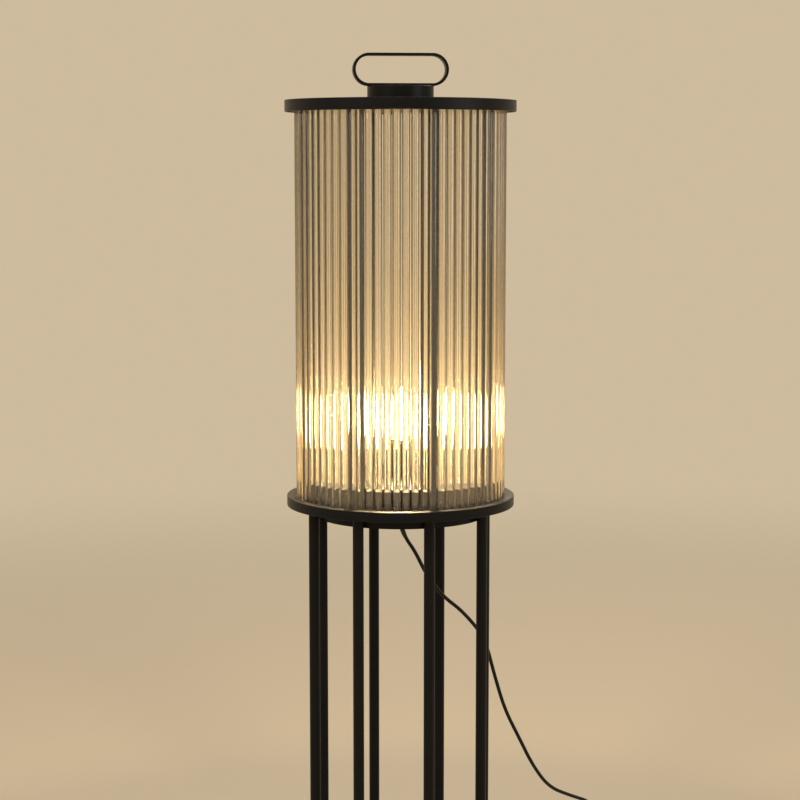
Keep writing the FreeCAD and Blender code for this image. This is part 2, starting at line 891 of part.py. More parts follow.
holder_contact = turned(
    "holder_contact",
    [
        (fixed(0), contact_low),
        (fixed(5), contact_low),
        (fixed(5), contact_low + 1),
        (fixed(2.5), bulb_foot - size("seat_gap")),
        (fixed(0), bulb_foot - size("seat_gap")),
    ],
)

cap_radius = size("cap_dia") / 2
cap_top = cap_bottom + size("cap_length")
bulb_cap = turned(
    "bulb_cap",
    [
        (fixed(2.4), cap_bottom),
        (cap_radius - 2, cap_bottom),
        (cap_radius, cap_bottom + 3),
        (cap_radius, cap_top - 1.5),
        (cap_radius + 0.3, cap_top),
        (cap_radius - 0.5, cap_top),
        (cap_radius - 0.5, cap_bottom + 3.2),
        (cap_radius - 2.2, cap_bottom + 0.6),
        (fixed(2.4), cap_bottom + 0.6),
    ],
)
bulb_contact = turned(
    "bulb_contact",
    [
        (fixed(0), bulb_foot),
        (fixed(1.4), bulb_foot),
        (fixed(2.3), cap_bottom - 0.6),
        (fixed(2.3), cap_bottom + 1.6),
        (fixed(0), cap_bottom + 1.6),
    ],
)

bulb_tip = bulb_foot + size("bulb_length")
bulb_belly = cap_top + (bulb_tip - cap_top) / 3


def bulb_outline(inset):
    """Half the candle bulb's outline from its neck over the belly to the tip, as two curves."""
    neck = vector(cap_radius - inset, 0, cap_top)
    shoulder = vector(size("bulb_dia") * 0.42 - inset, 0, cap_top + (bulb_belly - cap_top) * 0.5)
    belly = vector(size("bulb_dia") / 2 - inset, 0, bulb_belly)
    flank = vector(size("bulb_dia") * 0.33 - inset, 0, bulb_belly + (bulb_tip - bulb_belly) * 0.6)
    tip = vector(0, 0, bulb_tip - inset)
    low, high = Part.BSplineCurve(), Part.BSplineCurve()
    up, inwards = FreeCAD.Vector(0, 0, 1), FreeCAD.Vector(-1, 0, 0.35)
    low.interpolate([neck, shoulder, belly], InitialTangent=up, FinalTangent=up)
    high.interpolate([belly, flank, tip], InitialTangent=up, FinalTangent=inwards)
    return [low.toShape(), high.toShape()], neck, tip


outside, outer_neck, outer_tip = bulb_outline(0)
inside, inner_neck, inner_tip = bulb_outline(size("bulb_wall").value)
wall_ends = [
    Part.LineSegment(outer_tip, inner_tip).toShape(),
    Part.LineSegment(inner_neck, outer_neck).toShape(),
]
half_wall = Part.Face(Part.Wire(Part.sortEdges(outside + inside + wall_ends)[0]))
turn_axis = FreeCAD.Vector(0, 0, 1)
bulb_glass = feature("bulb_glass", half_wall.revolve(FreeCAD.Vector(), turn_axis, 360))

# a glass stem with a spider at each end, and the glowing rods between the two
rod_ring = size("filament_circle") / 2
arm_end = rod_ring + size("filament_dia") / 2
spider_low = cap_top + size("stem_length")
spider_high = spider_low + size("bulb_length") * 0.36
stem_foot = cap_radius - size("bulb_wall") - size("seat_gap")
bulb_stem = turned(
    "bulb_stem",
    [
        (fixed(0), cap_top),
        (stem_foot, cap_top),
        (fixed(2), spider_low - 3),
        (fixed(0.8), spider_low - 1),
        (arm_end, spider_low - 1),
        (arm_end, spider_low),
        (fixed(0.8), spider_low),
        (fixed(0.8), spider_high),
        (arm_end, spider_high),
        (arm_end, spider_high + 1),
        (fixed(0), spider_high + 1),
    ],
)
filaments = []
filament_step = 360 / size("filament_count")
for number in range(int(size("filament_count").value)):
    name = f"filament_{number + 1}"
    filament = cylinder(name, size("filament_dia") / 2, spider_high - spider_low)
    place_round(filament, rod_ring, filament_step * (number + 0.5), spider_low)
    filaments.append(filament)
bulb_filaments = group("bulb_filaments", filaments)


# ---- glass rods, in a front and a rear half, each rod bevelled at its ends ----

front_rods, rear_rods = [], []
bevel = size("rod_polish").value
for number in range(int(rod_count.value)):
    angle = first_rod + rod_step * number
    blank = cylinder(f"rod_{number + 1}_blank", size("rod_dia") / 2, rod_top - leg_top)
    place_round(blank, rod_circle / 2, angle, leg_top)
    rod = doc.addObject("Part::Chamfer", f"rod_{number + 1}")
    rod.Base = blank
    rod.Edges = [(1, bevel, bevel), (3, bevel, bevel)]
    if cosine(angle).value > 0:
        front_rods.append(rod)
    else:
        rear_rods.append(rod)
glass_rods_front = group("glass_rods_front", front_rods)
glass_rods_rear = group("glass_rods_rear", rear_rods)


# ---- rod plate, cushion ring and lid ----

plate_radius = rim_inside - size("rim_gap")
rod_plate = turned(
    "rod_plate",
    [
        (fixed(0), plate_low),
        (plate_radius, plate_low),
        (plate_radius, plate_top),
        (fixed(0), plate_top),
    ],
)
drill(
    rod_plate,
    "rod_head",
    rod_circle,
    rod_hole,
    plate_low,
    plate_top,
    rod_count,
    first_rod,
)
drill(
    rod_plate,
    "post_head",
    tube_circle,
    screw_hole,
    plate_low,
    plate_top,
    size("tube_count"),
    first_tube,
)

cushion_outside = rod_circle / 2 + size("rod_dia") / 2 + size("ring_margin")
rod_cushion = turned(
    "rod_cushion",
    [
        (rest_inside, rod_top),
        (cushion_outside, rod_top),
        (cushion_outside, lid_under),
        (rest_inside, lid_under),
    ],
)

neck_radius = size("neck_dia") / 2
neck_screws = (neck_radius - size("neck_flange") / 2) * 2
top_cover = turned(
    "top_cover",
    [
        (fixed(0), lid_under),
        (rim_inside, lid_under),
        (rim_inside, lid_rim_edge),
        (disc_radius, lid_rim_edge),
        (disc_radius, lid_top),
        (fixed(0), lid_top),
    ],
)
round_edges(
    top_cover,
    [(disc_radius, lid_top), (disc_radius, lid_rim_edge)],
    size("disc_round"),
)
drill(
    top_cover,
    "lid_screw",
    tube_circle,
    screw_hole,
    lid_under,
    lid_top,
    size("tube_count"),
    first_tube,
    sink=(head_dia, lid_top, size("sheet_thick"), 1),
)
drill(
    top_cover,
    "neck_screw",
    neck_screws,
    small_hole,
    lid_under,
    lid_top,
    four,
    size("handle_turn"),
    sink=(small_head_dia + size("fit_gap") * 2, lid_under, size("sheet_thick"), -1),
)


# ---- neck and strap handle, turned together ----

neck = turned(
    "neck",
    [
        (neck_radius - size("neck_flange"), lid_top),
        (neck_radius, lid_top),
        (neck_radius, neck_top),
        (fixed(0), neck_top),
        (fixed(0), neck_top - size("neck_top")),
        (neck_radius - size("neck_wall"), neck_top - size("neck_top")),
        (neck_radius - size("neck_wall"), lid_top + size("neck_wall")),
        (neck_radius - size("neck_flange"), lid_top + size("neck_wall")),
    ],
)
round_edges(neck, [(neck_radius, neck_top)], size("neck_round"))
drill(
    neck,
    "flange_thread",
    neck_screws,
    small_hole,
    lid_top,
    lid_top + size("neck_wall"),
    four,
    size("handle_turn"),
)
drill(
    neck,
    "handle_thread",
    size("handle_screw_gap"),
    small_hole,
    neck_top - size("neck_top"),
    neck_top,
    fixed(2),
    size("handle_turn") + 90,
)


def band_outline(body, name, inset):
    """A stadium on the body's XZ plane: two straight bars and two round ends."""
    sketch = body.newObject("Sketcher::SketchObject", name)
    attach(sketch, body, "XZ_Plane")
    radius = size("handle_height") / 2 - inset
    reach = size("handle_length") / 2 - size("handle_height") / 2
    middle = neck_top + size("handle_height") / 2
    r, x, z = radius.value, reach.value, middle.value
    up = FreeCAD.Vector(0, 0, 1)
    right, left = FreeCAD.Vector(x, z, 0), FreeCAD.Vector(-x, z, 0)
    quarter = math.pi / 2
    sketch.addGeometry(Part.LineSegment(vector(-x, z + r, 0), vector(x, z + r, 0)))
    sketch.addGeometry(Part.ArcOfCircle(Part.Circle(right, up, r), -quarter, quarter))
    sketch.addGeometry(Part.LineSegment(vector(x, z - r, 0), vector(-x, z - r, 0)))
    sketch.addGeometry(Part.ArcOfCircle(Part.Circle(left, up, r), quarter, 3 * quarter))
    sketch.addConstraint(Sketcher.Constraint("Tangent", 0, 2, 1, 2))
    sketch.addConstraint(Sketcher.Constraint("Tangent", 1, 1, 2, 1))
    sketch.addConstraint(Sketcher.Constraint("Tangent", 2, 2, 3, 2))
    sketch.addConstraint(Sketcher.Constraint("Tangent", 3, 1, 0, 1))
    sketch.addConstraint(Sketcher.Constraint("Horizontal", 0))
    sketch.addConstraint(Sketcher.Constraint("Symmetric", 1, 3, 3, 3, -2))
    for kind, spot, amount in (
        ("Radius", (1,), radius),
        ("DistanceX", (-1, 1, 1, 3), reach),
        ("DistanceY", (-1, 1, 1, 3), middle),
    ):
        index = sketch.addConstraint(Sketcher.Constraint(kind, *spot, amount.value))
        bind(sketch, f"Constraints[{index}]", amount)
    return sketch


handle = new_body("handle")
handle_pad = handle.newObject("PartDesign::Pad", "handle_band")
handle_pad.Profile = band_outline(handle, "handle_outside", fixed(0))
handle_pad.Midplane = True
bind(handle_pad, "Length", size("band_width"))
handle_gap = handle.newObject("PartDesign::Pocket", "handle_gap")
handle_gap.Profile = band_outline(handle, "handle_inside", size("band_thick"))
handle_gap.Midplane = True
bind(handle_gap, "Length", size("band_width") * 2)
handle.Tip = handle_gap
doc.recompute()
long_edges = []
for number, edge in enumerate(handle_gap.Shape.Edges, start=1):
    ends = [abs(vertex.Point.y) for vertex in edge.Vertexes]
    if all(abs(reach - size("band_width").value / 2) < 1e-6 for reach in ends):
        long_edges.append(f"Edge{number}")
handle_soft = handle.newObject("PartDesign::Fillet", "handle_soft")
handle_soft.Base = (handle_gap, long_edges)
bind(handle_soft, "Radius", size("band_round"))
handle.Tip = handle_soft
drill(
    handle,
    "band_screw",
    size("handle_screw_gap"),
    small_hole,
    neck_top,
    neck_top + size("band_thick"),
    fixed(2),
    fixed(90),
    sink=(
        small_head_dia + size("fit_gap") * 2,
        neck_top + size("band_thick"),
        size("small_screw_dia") / 2,
        1,
    ),
)
place(handle, turn=size("handle_turn"))

small_screws = []
screw_spots = [(tab_circle, fixed(90 * n), drum_bottom, 1) for n in range(4)]
screw_spots += [(neck_screws, size("handle_turn") + 90 * n, lid_under, 1) for n in range(4)]
screw_spots += [
    (
        size("handle_screw_gap"),
        size("handle_turn") + 90 + 180 * n,
        neck_top + size("band_thick"),
        -1,
    )
    for n in range(2)
]
for number, (circle, angle, mouth, way) in enumerate(screw_spots, start=1):
    name = f"small_screw_{number}"
    screw = countersunk(name, size("small_screw_dia"), size("small_screw_length"), mouth, way)
    place_round(screw, circle / 2, angle, fixed(0))
    small_screws.append(screw)
small_screws = group("small_screws", small_screws)


# ---- cord: from the gland to the foot switch, on to a coil, and to the plug ----

floor_run = size("cord_dia").value / 2 + 0.9
lead_points = [
    vector(0, 0, gland_foot),
    vector(0, 0, gland_foot - 14.5),
    vector(5, 4.3, gland_foot - 27.5),
    vector(17.5, 15, gland_foot - 46),
    vector(34.5, 29.5, gland_foot - 79),
    vector(57, 49, gland_foot - 113),
    vector(86, 73, gland_foot - 140),
    vector(117, 100, gland_foot - 183),
    vector(132, 113, gland_foot - 242),
    vector(147, 126, gland_foot - 293),
    vector(168, 144, gland_foot - 338),
    vector(189, 161, gland_foot - 384),
    vector(214, 183, gland_foot - 423),
    vector(248, 212, gland_foot - 445),
    vector(283, 236, gland_foot - 463),
    vector(304, 240, gland_foot - 511),
    vector(312, 226, gland_foot - 569),
    vector(311, 196, gland_foot - 616),
    vector(306, 158, floor_run),
    vector(301, 126, floor_run + 0.2),
    vector(299, 100, size("inlet_height")),
    vector(299, 84, size("inlet_height")),
]
print("cord_lead")
cord_lead = feature("cord_lead", swept(tangent_path(lead_points), size("cord_dia").value / 2))

switch_x = fixed(299)
switch_y = 84 - size("switch_dia") / 2 - size("boot_length")
tail_start = switch_y - size("switch_dia") / 2 - size("boot_length")
coil_rest = size("coil_rest")
coil_x = fixed(290)
coil_y = fixed(-100)
end_run = size("cord_dia")
tail_points = [
    vector(switch_x, tail_start, size("inlet_height")),
    vector(switch_x, tail_start - 13, size("inlet_height")),
    vector(297, -36, coil_rest + 0.6),
    vector(292, -58, coil_rest + 0.1),
    vector(coil_x, -78, coil_rest),
    vector(coil_x, coil_y + end_run, coil_rest),
]
print("cord_tail")
cord_tail = feature("cord_tail", swept(tangent_path(tail_points), size("cord_dia").value / 2))


def coil_path():
    """Half turns that spiral in, climb one layer in the innermost half turn and spiral out."""
    layer = int(size("coil_half_turns").value)
    pitch = size("coil_pitch").value
    step = pitch / 2
    radii = [size("coil_radius").value - step * number for number in range(layer + 1)]
    radii += radii[-2::-1]
    x, y, z = coil_x.value, coil_y.value, coil_rest.value
    straight = FreeCAD.Vector(0, end_run.value, 0)
    start = FreeCAD.Vector(x, y, z)
    edges = [Part.LineSegment(start + straight, start).toShape()]
    side = -1
    for number, radius in enumerate(radii):
        climb = pitch if number == layer else 0
        end = start + FreeCAD.Vector(2 * radius * side, 0, climb)
        edges += half_turn(start, end, FreeCAD.Vector(0, side, 0))
        start = end
        side = -side
    edges.append(Part.LineSegment(start, start + straight).toShape())
    return Part.Wire(edges), start + straight


def least_gap(path, thickness, step=1.0, apart=6):
    """The least gap of a tube to itself, on points a step apart and further than that along it."""
    points = path.discretize(Distance=step)
    skip = int(thickness * apart / step)
    nearest = min(
        (points[a] - points[b]).Length
        for a in range(len(points))
        for b in range(a + skip, len(points))
    )
    return nearest - thickness


coil_wire, coil_end = coil_path()
print("cord_coil")
print(f"  least gap to itself {least_gap(coil_wire, size('cord_dia').value):.2f} mm")
cord_coil = feature("cord_coil", swept(coil_wire, size("cord_dia").value / 2))

plug_thick = size("inlet_height") * 2
plug_x = fixed(coil_end.x)
plug_y = fixed(coil_end.y + 40)
end_points = [
    coil_end,
    vector(coil_end.x, coil_end.y + 12, coil_end.z),
    vector(plug_x, plug_y - 12, size("inlet_height")),
    vector(plug_x, plug_y, size("inlet_height")),
]
print("cord_end")
cord_end = feature("cord_end", swept(tangent_path(end_points), size("cord_dia").value / 2))

# the strap round the coil's turns, at the side away from its ends
tie_gap = 0.4
layer_reach = size("coil_pitch") * size("coil_half_turns") / 2
tie_outer_y = coil_y - size("coil_radius") - size("cord_dia") / 2 - tie_gap
tie_inner_y = tie_outer_y + layer_reach + size("cord_dia") + tie_gap * 2
tie_low = coil_rest - size("cord_dia") / 2 - tie_gap
tie_high = coil_rest + size("coil_pitch") + size("cord_dia") / 2 + tie_gap
tie_x = coil_x - size("coil_radius") - size("tie_width") / 2
tie_hollow = box("tie_hollow", size("tie_width"), tie_inner_y - tie_outer_y, tie_high - tie_low)
place(tie_hollow, x=tie_x, y=tie_outer_y, z=tie_low)
tie_blank = box(
    "tie_blank",
    size("tie_width"),
    tie_inner_y - tie_outer_y + size("tie_thick") * 2,
    tie_high - tie_low + size("tie_thick") + 0.3,
)
place(tie_blank, x=tie_x, y=tie_outer_y - size("tie_thick"), z=tie_low - 0.3)
coil_tie = cut("coil_tie", tie_blank, tie_hollow)


# ---- foot switch: two shells, a button on a return spring ----

switch_radius = size("switch_dia") / 2
wall = size("switch_wall")
key_radius = size("key_dia") / 2
sleeve_inside = key_radius + size("key_gap")
key_top = size("switch_height") + size("key_proud")
flange_top = size("switch_base_height") + 1.5
spring_well = size("spring_dia") / 2 + size("spring_wire") * 1.5
sleeve_foot = flange_top + size("seat_gap")


def move_to_switch(body):
    place(body, x=switch_x, y=switch_y)


switch_base = turned(
    "switch_base",
    [
        (fixed(0), fixed(0)),
        (switch_radius - 1, fixed(0)),
        (switch_radius, fixed(1)),
        (switch_radius, size("switch_base_height")),
        (switch_radius - wall, size("switch_base_height")),
        (switch_radius - wall, wall),
        (fixed(0), wall),
    ],
)
for way, name in ((1, "switch_inlet"), (-1, "switch_outlet")):
    boot = switch_base.newObject("PartDesign::AdditiveCone", name)
    attach(boot, switch_base)
    bind(boot, "Radius1", size("boot_dia") / 2)
    bind(boot, "Radius2", size("cord_dia") / 2 + 0.8)
    bind(boot, "Height", size("boot_length") + wall / 2)
    boot.AttachmentOffset.Rotation = FreeCAD.Rotation(FreeCAD.Vector(1, 0, 0), -90 * way)
    place(
        boot,
        y=(switch_radius - wall / 2) * way,
        z=size("inlet_height"),
        offset="AttachmentOffset",
    )
    switch_base.Tip = boot
move_to_switch(switch_base)

switch_top = turned(
    "switch_top",
    [
        (switch_radius - wall, size("switch_base_height")),
        (switch_radius, size("switch_base_height")),
        (switch_radius, size("switch_base_height") + 2),
        (switch_radius - 4, size("switch_height")),
        (sleeve_inside, size("switch_height")),
        (sleeve_inside, sleeve_foot),
        (sleeve_inside + wall, sleeve_foot),
        (sleeve_inside + wall, size("switch_height") - wall),
        (switch_radius - 5, size("switch_height") - wall),
        (switch_radius - wall, size("switch_base_height") + 1.5),
    ],
)
move_to_switch(switch_top)

switch_button = turned(
    "switch_button",
    [
        (fixed(0), flange_top),
        (spring_well, flange_top),
        (spring_well, flange_top - wall),
        (key_radius + size("key_flange"), flange_top - wall),
        (key_radius + size("key_flange"), flange_top),
        (key_radius, flange_top),
        (key_radius, key_top),
        (fixed(0), key_top),
    ],
)
round_edges(switch_button, [(key_radius, key_top)], fixed(2.5))
move_to_switch(switch_button)

spring_seat = size("seat_gap") + size("spring_wire") / 2
spring_low = wall + spring_seat
spring_high = flange_top - spring_seat


def spring_path():
    """Half turns that climb alike, with a short straight run at each end."""
    halves = int(size("spring_turns").value) * 2
    climb = (spring_high - spring_low).value / halves
    reach = size("spring_dia").value
    tail = FreeCAD.Vector(0, size("spring_wire").value, 0)
    start = vector(switch_x + size("spring_dia") / 2, switch_y, spring_low)
    edges = [Part.LineSegment(start - tail, start).toShape()]
    side = -1
    for number in range(halves):
        end = start + FreeCAD.Vector(reach * side, 0, climb)
        edges += half_turn(start, end, FreeCAD.Vector(0, -side, 0))
        start = end
        side = -side
    edges.append(Part.LineSegment(start, start + tail).toShape())
    return Part.Wire(edges)


print("switch_spring")
spring_wire = spring_path()
print(f"  least gap to itself {least_gap(spring_wire, size('spring_wire').value, 0.4):.2f} mm")
switch_spring = feature("switch_spring", swept(spring_wire, size("spring_wire").value / 2))


# ---- plug with two round pins, lying flat beside the coil ----

plug_blank = box("plug_blank", size("plug_width"), size("plug_length"), plug_thick)
place(plug_blank, x=plug_x - size("plug_width") / 2, y=plug_y, z=fixed(0))
plug_body = doc.addObject("Part::Fillet", "plug_body")
plug_body.Base = plug_blank
doc.recompute()
plug_round = size("plug_round").value
plug_body.Edges = [(number, plug_round, plug_round) for number in range(1, 13)]

pins = []
for side in (-1, 1):
    pin = cylinder(f"pin_{side + 2}", size("pin_dia") / 2, size("pin_length"))
    pin.Placement.Rotation = FreeCAD.Rotation(FreeCAD.Vector(1, 0, 0), -90)
    place(
        pin,
        x=plug_x + size("pin_gap") / 2 * side,
        y=plug_y + size("plug_length"),
        z=size("inlet_height"),
    )
    pins.append(pin)
plug_pins = group("plug_pins", pins)


# ---- check and write ----

NODES = [
    base_plate,
    base_pads,
    frame_screws,
    *legs,
    tube_bushes,
    lower_disc,
    rod_rest_ring,
    drum,
    drum_cover,
    small_screws,
    cord_gland,
    lock_nuts,
    terminal_block,
    holder_leads,
    holder_nipple,
    holder_body,
    holder_core,
    holder_ring,
    holder_thread,
    holder_contact,
    bulb_cap,
    bulb_contact,
    bulb_glass,
    bulb_stem,
    bulb_filaments,
    *posts,
    post_studs,
    glass_rods_front,
    glass_rods_rear,
    rod_plate,
    rod_cushion,
    lid_spacers,
    top_cover,
    neck,
    handle,
    cord_lead,
    cord_tail,
    cord_coil,
    coil_tie,
    cord_end,
    switch_base,
    switch_top,
    switch_button,
    switch_spring,
    plug_body,
    plug_pins,
]

doc.recompute()
for item in doc.Objects:
    if "Invalid" in item.State or "Error" in item.State:
        raise RuntimeError(f"{item.Name} failed: {item.State}")
for node in NODES:
    if node.Shape.isNull() or not node.Shape.isValid() or not node.Shape.Solids:
        raise RuntimeError(f"{node.Label} has no sound solid")
for node in NODES:
    node.Shape.exportStep(f"parts/{node.Label}.step")
print(len(NODES), "nodes")
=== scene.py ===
"""Looks for the lantern floor lamp, laid out as a Blender add-on and run as a script.

The packed model is loaded as a fixed frame. Each operator makes or finishes one group of pieces
around it, and the stage comes last.
"""

import json
import math

import bpy
from bpy.props import FloatProperty, FloatVectorProperty, IntProperty, PointerProperty
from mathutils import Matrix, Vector


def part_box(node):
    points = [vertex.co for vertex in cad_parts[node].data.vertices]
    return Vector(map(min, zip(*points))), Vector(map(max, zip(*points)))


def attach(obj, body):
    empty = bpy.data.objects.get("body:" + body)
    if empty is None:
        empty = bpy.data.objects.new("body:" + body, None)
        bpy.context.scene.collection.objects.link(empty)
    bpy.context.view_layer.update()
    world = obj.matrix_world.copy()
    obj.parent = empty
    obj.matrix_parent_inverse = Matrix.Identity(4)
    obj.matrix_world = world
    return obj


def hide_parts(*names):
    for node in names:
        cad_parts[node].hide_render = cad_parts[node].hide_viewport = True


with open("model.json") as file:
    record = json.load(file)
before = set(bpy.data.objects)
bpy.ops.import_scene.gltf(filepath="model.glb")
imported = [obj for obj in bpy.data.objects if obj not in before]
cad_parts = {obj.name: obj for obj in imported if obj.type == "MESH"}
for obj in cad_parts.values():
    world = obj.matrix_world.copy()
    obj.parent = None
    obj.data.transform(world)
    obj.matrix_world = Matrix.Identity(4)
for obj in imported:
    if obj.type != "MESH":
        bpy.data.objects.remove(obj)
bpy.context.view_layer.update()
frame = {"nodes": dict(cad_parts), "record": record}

bl_info = {
    "name": "Lantern Floor Lamp",
    "version": (1, 0, 0),
    "blender": (4, 5, 0),
    "location": "3D View > Sidebar > Lantern",
    "description": "Finishes a lantern floor lamp of glass rods around its packed frame",
    "category": "Object",
}

MM = 0.001


def node_top(node):
    """Height of a packed node's highest point."""
    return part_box(node)[1].z


def node_foot(node):
    """Height of a packed node's lowest point."""
    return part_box(node)[0].z


# ---- what a user may change ----


class LanternRods(bpy.types.PropertyGroup):
    """Glass rods of the shade"""

    count: IntProperty(
        name="Rods", description="Rods round the whole ring", default=72, min=12, max=80
    )
    ring: FloatProperty(
        name="Ring radius",
        description="From the lamp's axis to a rod's middle",
        default=0.1325,
        unit="LENGTH",
    )
    radius: FloatProperty(
        name="Rod radius", description="Radius of one rod", default=0.005, unit="LENGTH"
    )
    polish: FloatProperty(
        name="Polished end",
        description="Height of the rounded, fire polished end of a rod",
        default=0.0006,
        unit="LENGTH",
    )
    first: FloatProperty(
        name="First rod",
        description="Turn of the first rod from the front",
        default=math.radians(-87),
        subtype="ANGLE",
    )


class LanternColours(bpy.types.PropertyGroup):
    """Colours of the main finishes"""

    coat: FloatVectorProperty(
        name="Coat",
        description="Powder coat of the metal",
        default=(0.0065, 0.0062, 0.006),
        subtype="COLOR",
    )
    glass: FloatVectorProperty(
        name="Glass", description="Tint of the rods", default=(0.97, 0.91, 0.78), subtype="COLOR"
    )
    # painted shade: the dark brown painted into the base colour of a rod's sides, standing in for
    # the dark surroundings they refract
    sides: FloatVectorProperty(
        name="Rod sides",
        description="Brown dark of a rod's sides",
        default=(0.08, 0.05, 0.02),
        subtype="COLOR",
    )
    glow: FloatVectorProperty(
        name="Glow", description="Light of the bulb", default=(1.0, 0.70, 0.32), subtype="COLOR"
    )
    sheath: FloatVectorProperty(
        name="Sheath",
        description="Cord's sheath",
        default=(0.008, 0.008, 0.008),
        subtype="COLOR",
    )


class LanternStage(bpy.types.PropertyGroup):
    """Camera, light and backdrop"""

    camera_back: FloatProperty(
        name="Camera distance",
        description="From the lamp's axis to the camera, towards the front",
        default=2.68208,
        unit="LENGTH",
    )
    camera_height: FloatProperty(
        name="Camera height", description="Camera above the floor", default=1.11542, unit="LENGTH"
    )
    camera_dip: FloatProperty(
        name="Camera dip",
        description="How far the camera looks down",
        default=math.radians(7.55),
        subtype="ANGLE",
    )
    lens: FloatProperty(name="Lens", description="Focal length in millimetres", default=92.223)
    backdrop: FloatVectorProperty(
        name="Backdrop",
        description="Pale tone behind the lamp",
        default=(0.62, 0.50, 0.34),
        subtype="COLOR",
    )
    room_light: FloatProperty(
        name="Room light", description="Strength of the even light all round", default=0.45
    )
    bulb_power: FloatProperty(
        name="Bulb power", description="Power of the light in the bulb, in watts", default=14.0
    )


SETTINGS = (
    ("lantern_rods", LanternRods),
    ("lantern_colours", LanternColours),
    ("lantern_stage", LanternStage),
)


# ---- finishes: node trees written as plain expressions ----


class Reading:
    """A number or colour that a finish's nodes give. Arithmetic on numbers adds Math nodes."""

    def __init__(self, finish, socket):
        self.finish = finish
        self.socket = socket

    def maths(self, operation, left, right):
        """One Math node on two numbers or readings."""
        return self.finish.node("ShaderNodeMath", {"operation": operation}, {0: left, 1: right})

    def __add__(self, other):
        return self.maths("ADD", self, other)

    def __radd__(self, other):
        return self.maths("ADD", other, self)

    def __sub__(self, other):
        return self.maths("SUBTRACT", self, other)

    def __rsub__(self, other):
        return self.maths("SUBTRACT", other, self)

    def __mul__(self, other):
        return self.maths("MULTIPLY", self, other)

    def __rmul__(self, other):
        return self.maths("MULTIPLY", other, self)

    def __pow__(self, other):
        return self.maths("POWER", self, other)


class Finish:
    """A procedural material on object coordinates."""

    def __init__(self, name, **constants):
        self.material = bpy.data.materials.new(name)
        self.material.use_nodes = True
        self.tree = self.material.node_tree
        self.shader = self.tree.nodes["Principled BSDF"]
        for label, value in constants.items():
            self.shader.inputs[label.replace("_", " ")].default_value = value
        self.place = self.node("ShaderNodeTexCoord", output="Object")

    def node(self, kind, settings=None, feeds=None, output=0):
        """Adds a node: its settings first, then values or readings on its sockets."""
        made = self.tree.nodes.new(kind)
        for label, value in (settings or {}).items():
            setattr(made, label, value)
        for label, value in (feeds or {}).items():
            if isinstance(value, Reading):
                self.tree.links.new(value.socket, made.inputs[label])
            else:
                made.inputs[label].default_value = value
        return Reading(self, made.outputs[output])

    def feed(self, label, reading):
        """Links a reading to one of the shader's own sockets."""
        self.tree.links.new(reading.socket, self.shader.inputs[label])

    def stretched(self, stretch):
        """Object coordinates scaled per axis."""
        return self.node("ShaderNodeMapping", feeds={"Vector": self.place, "Scale": stretch})

    def noise(self, scale, detail, rough=0.5, stretch=None):
        """Noise from 0 to 1, with about scale blotches to the metre."""
        where = self.place if stretch is None else self.stretched(stretch)
        return self.node(
            "ShaderNodeTexNoise",
            feeds={"Vector": where, "Scale": scale, "Detail": detail, "Roughness": rough},
        )

    def axis(self, name):
        """One object coordinate, in metres."""
        return self.node("ShaderNodeSeparateXYZ", feeds={0: self.place}, output=name)

    def radius(self):
        """Distance from the lamp's axis."""
        across, deep = self.axis("X"), self.axis("Y")
        return (across * across + deep * deep) ** 0.5

    def between(self, value, low, high):
        """0 at low, 1 at high, clamped and smooth between."""
        return self.node(
            "ShaderNodeMapRange",
            {"interpolation_type": "SMOOTHSTEP"},
            {"Value": value, "From Min": low, "From Max": high},
        )

    def blend(self, share, first, second):
        """A colour between two, by share."""
        feeds = {"Factor": share}
        for label, colour in ((6, first), (7, second)):
            feeds[label] = colour if isinstance(colour, Reading) else (*colour, 1.0)
        return self.node("ShaderNodeMix", {"data_type": "RGBA"}, feeds, output=2)

    def relief(self, height, distance, strength):
        """A bump of that height reading, distance metres deep."""
        feeds = {"Height": height, "Distance": distance, "Strength": strength}
        return self.node("ShaderNodeBump", feeds=feeds)


def satin_coat(colours):
    """Satin black powder coat: a fine orange peel, cloudy gloss, rubbed spots and dust."""
    finish = Finish("satin_black_coat", Specular_IOR_Level=0.11)
    coat = tuple(colours.coat)
    cloud = finish.noise(14.0, 3.0)
    peel = finish.noise(1100.0, 1.0)
    grain = finish.noise(3200.0, 1.0)
    dust = finish.between(finish.noise(420.0, 4.0, 0.7), 0.62, 0.78)
    rubbed = finish.between(finish.noise(55.0, 5.0, 0.6), 0.63, 0.76)
    shade = finish.blend(cloud, coat, tuple(1.7 * part for part in coat))
    shade = finish.blend(dust * 0.05, shade, (0.16, 0.145, 0.125))
    shade = finish.blend(rubbed * 0.25, shade, (0.022, 0.021, 0.020))
    finish.feed("Base Color", shade)
    finish.feed("Roughness", 0.30 + cloud * 0.12 + dust * 0.18 - rubbed * 0.05)
    finish.feed("Normal", finish.relief(peel * 0.7 + grain * 0.3, 0.00006, 0.55))
    return finish.material


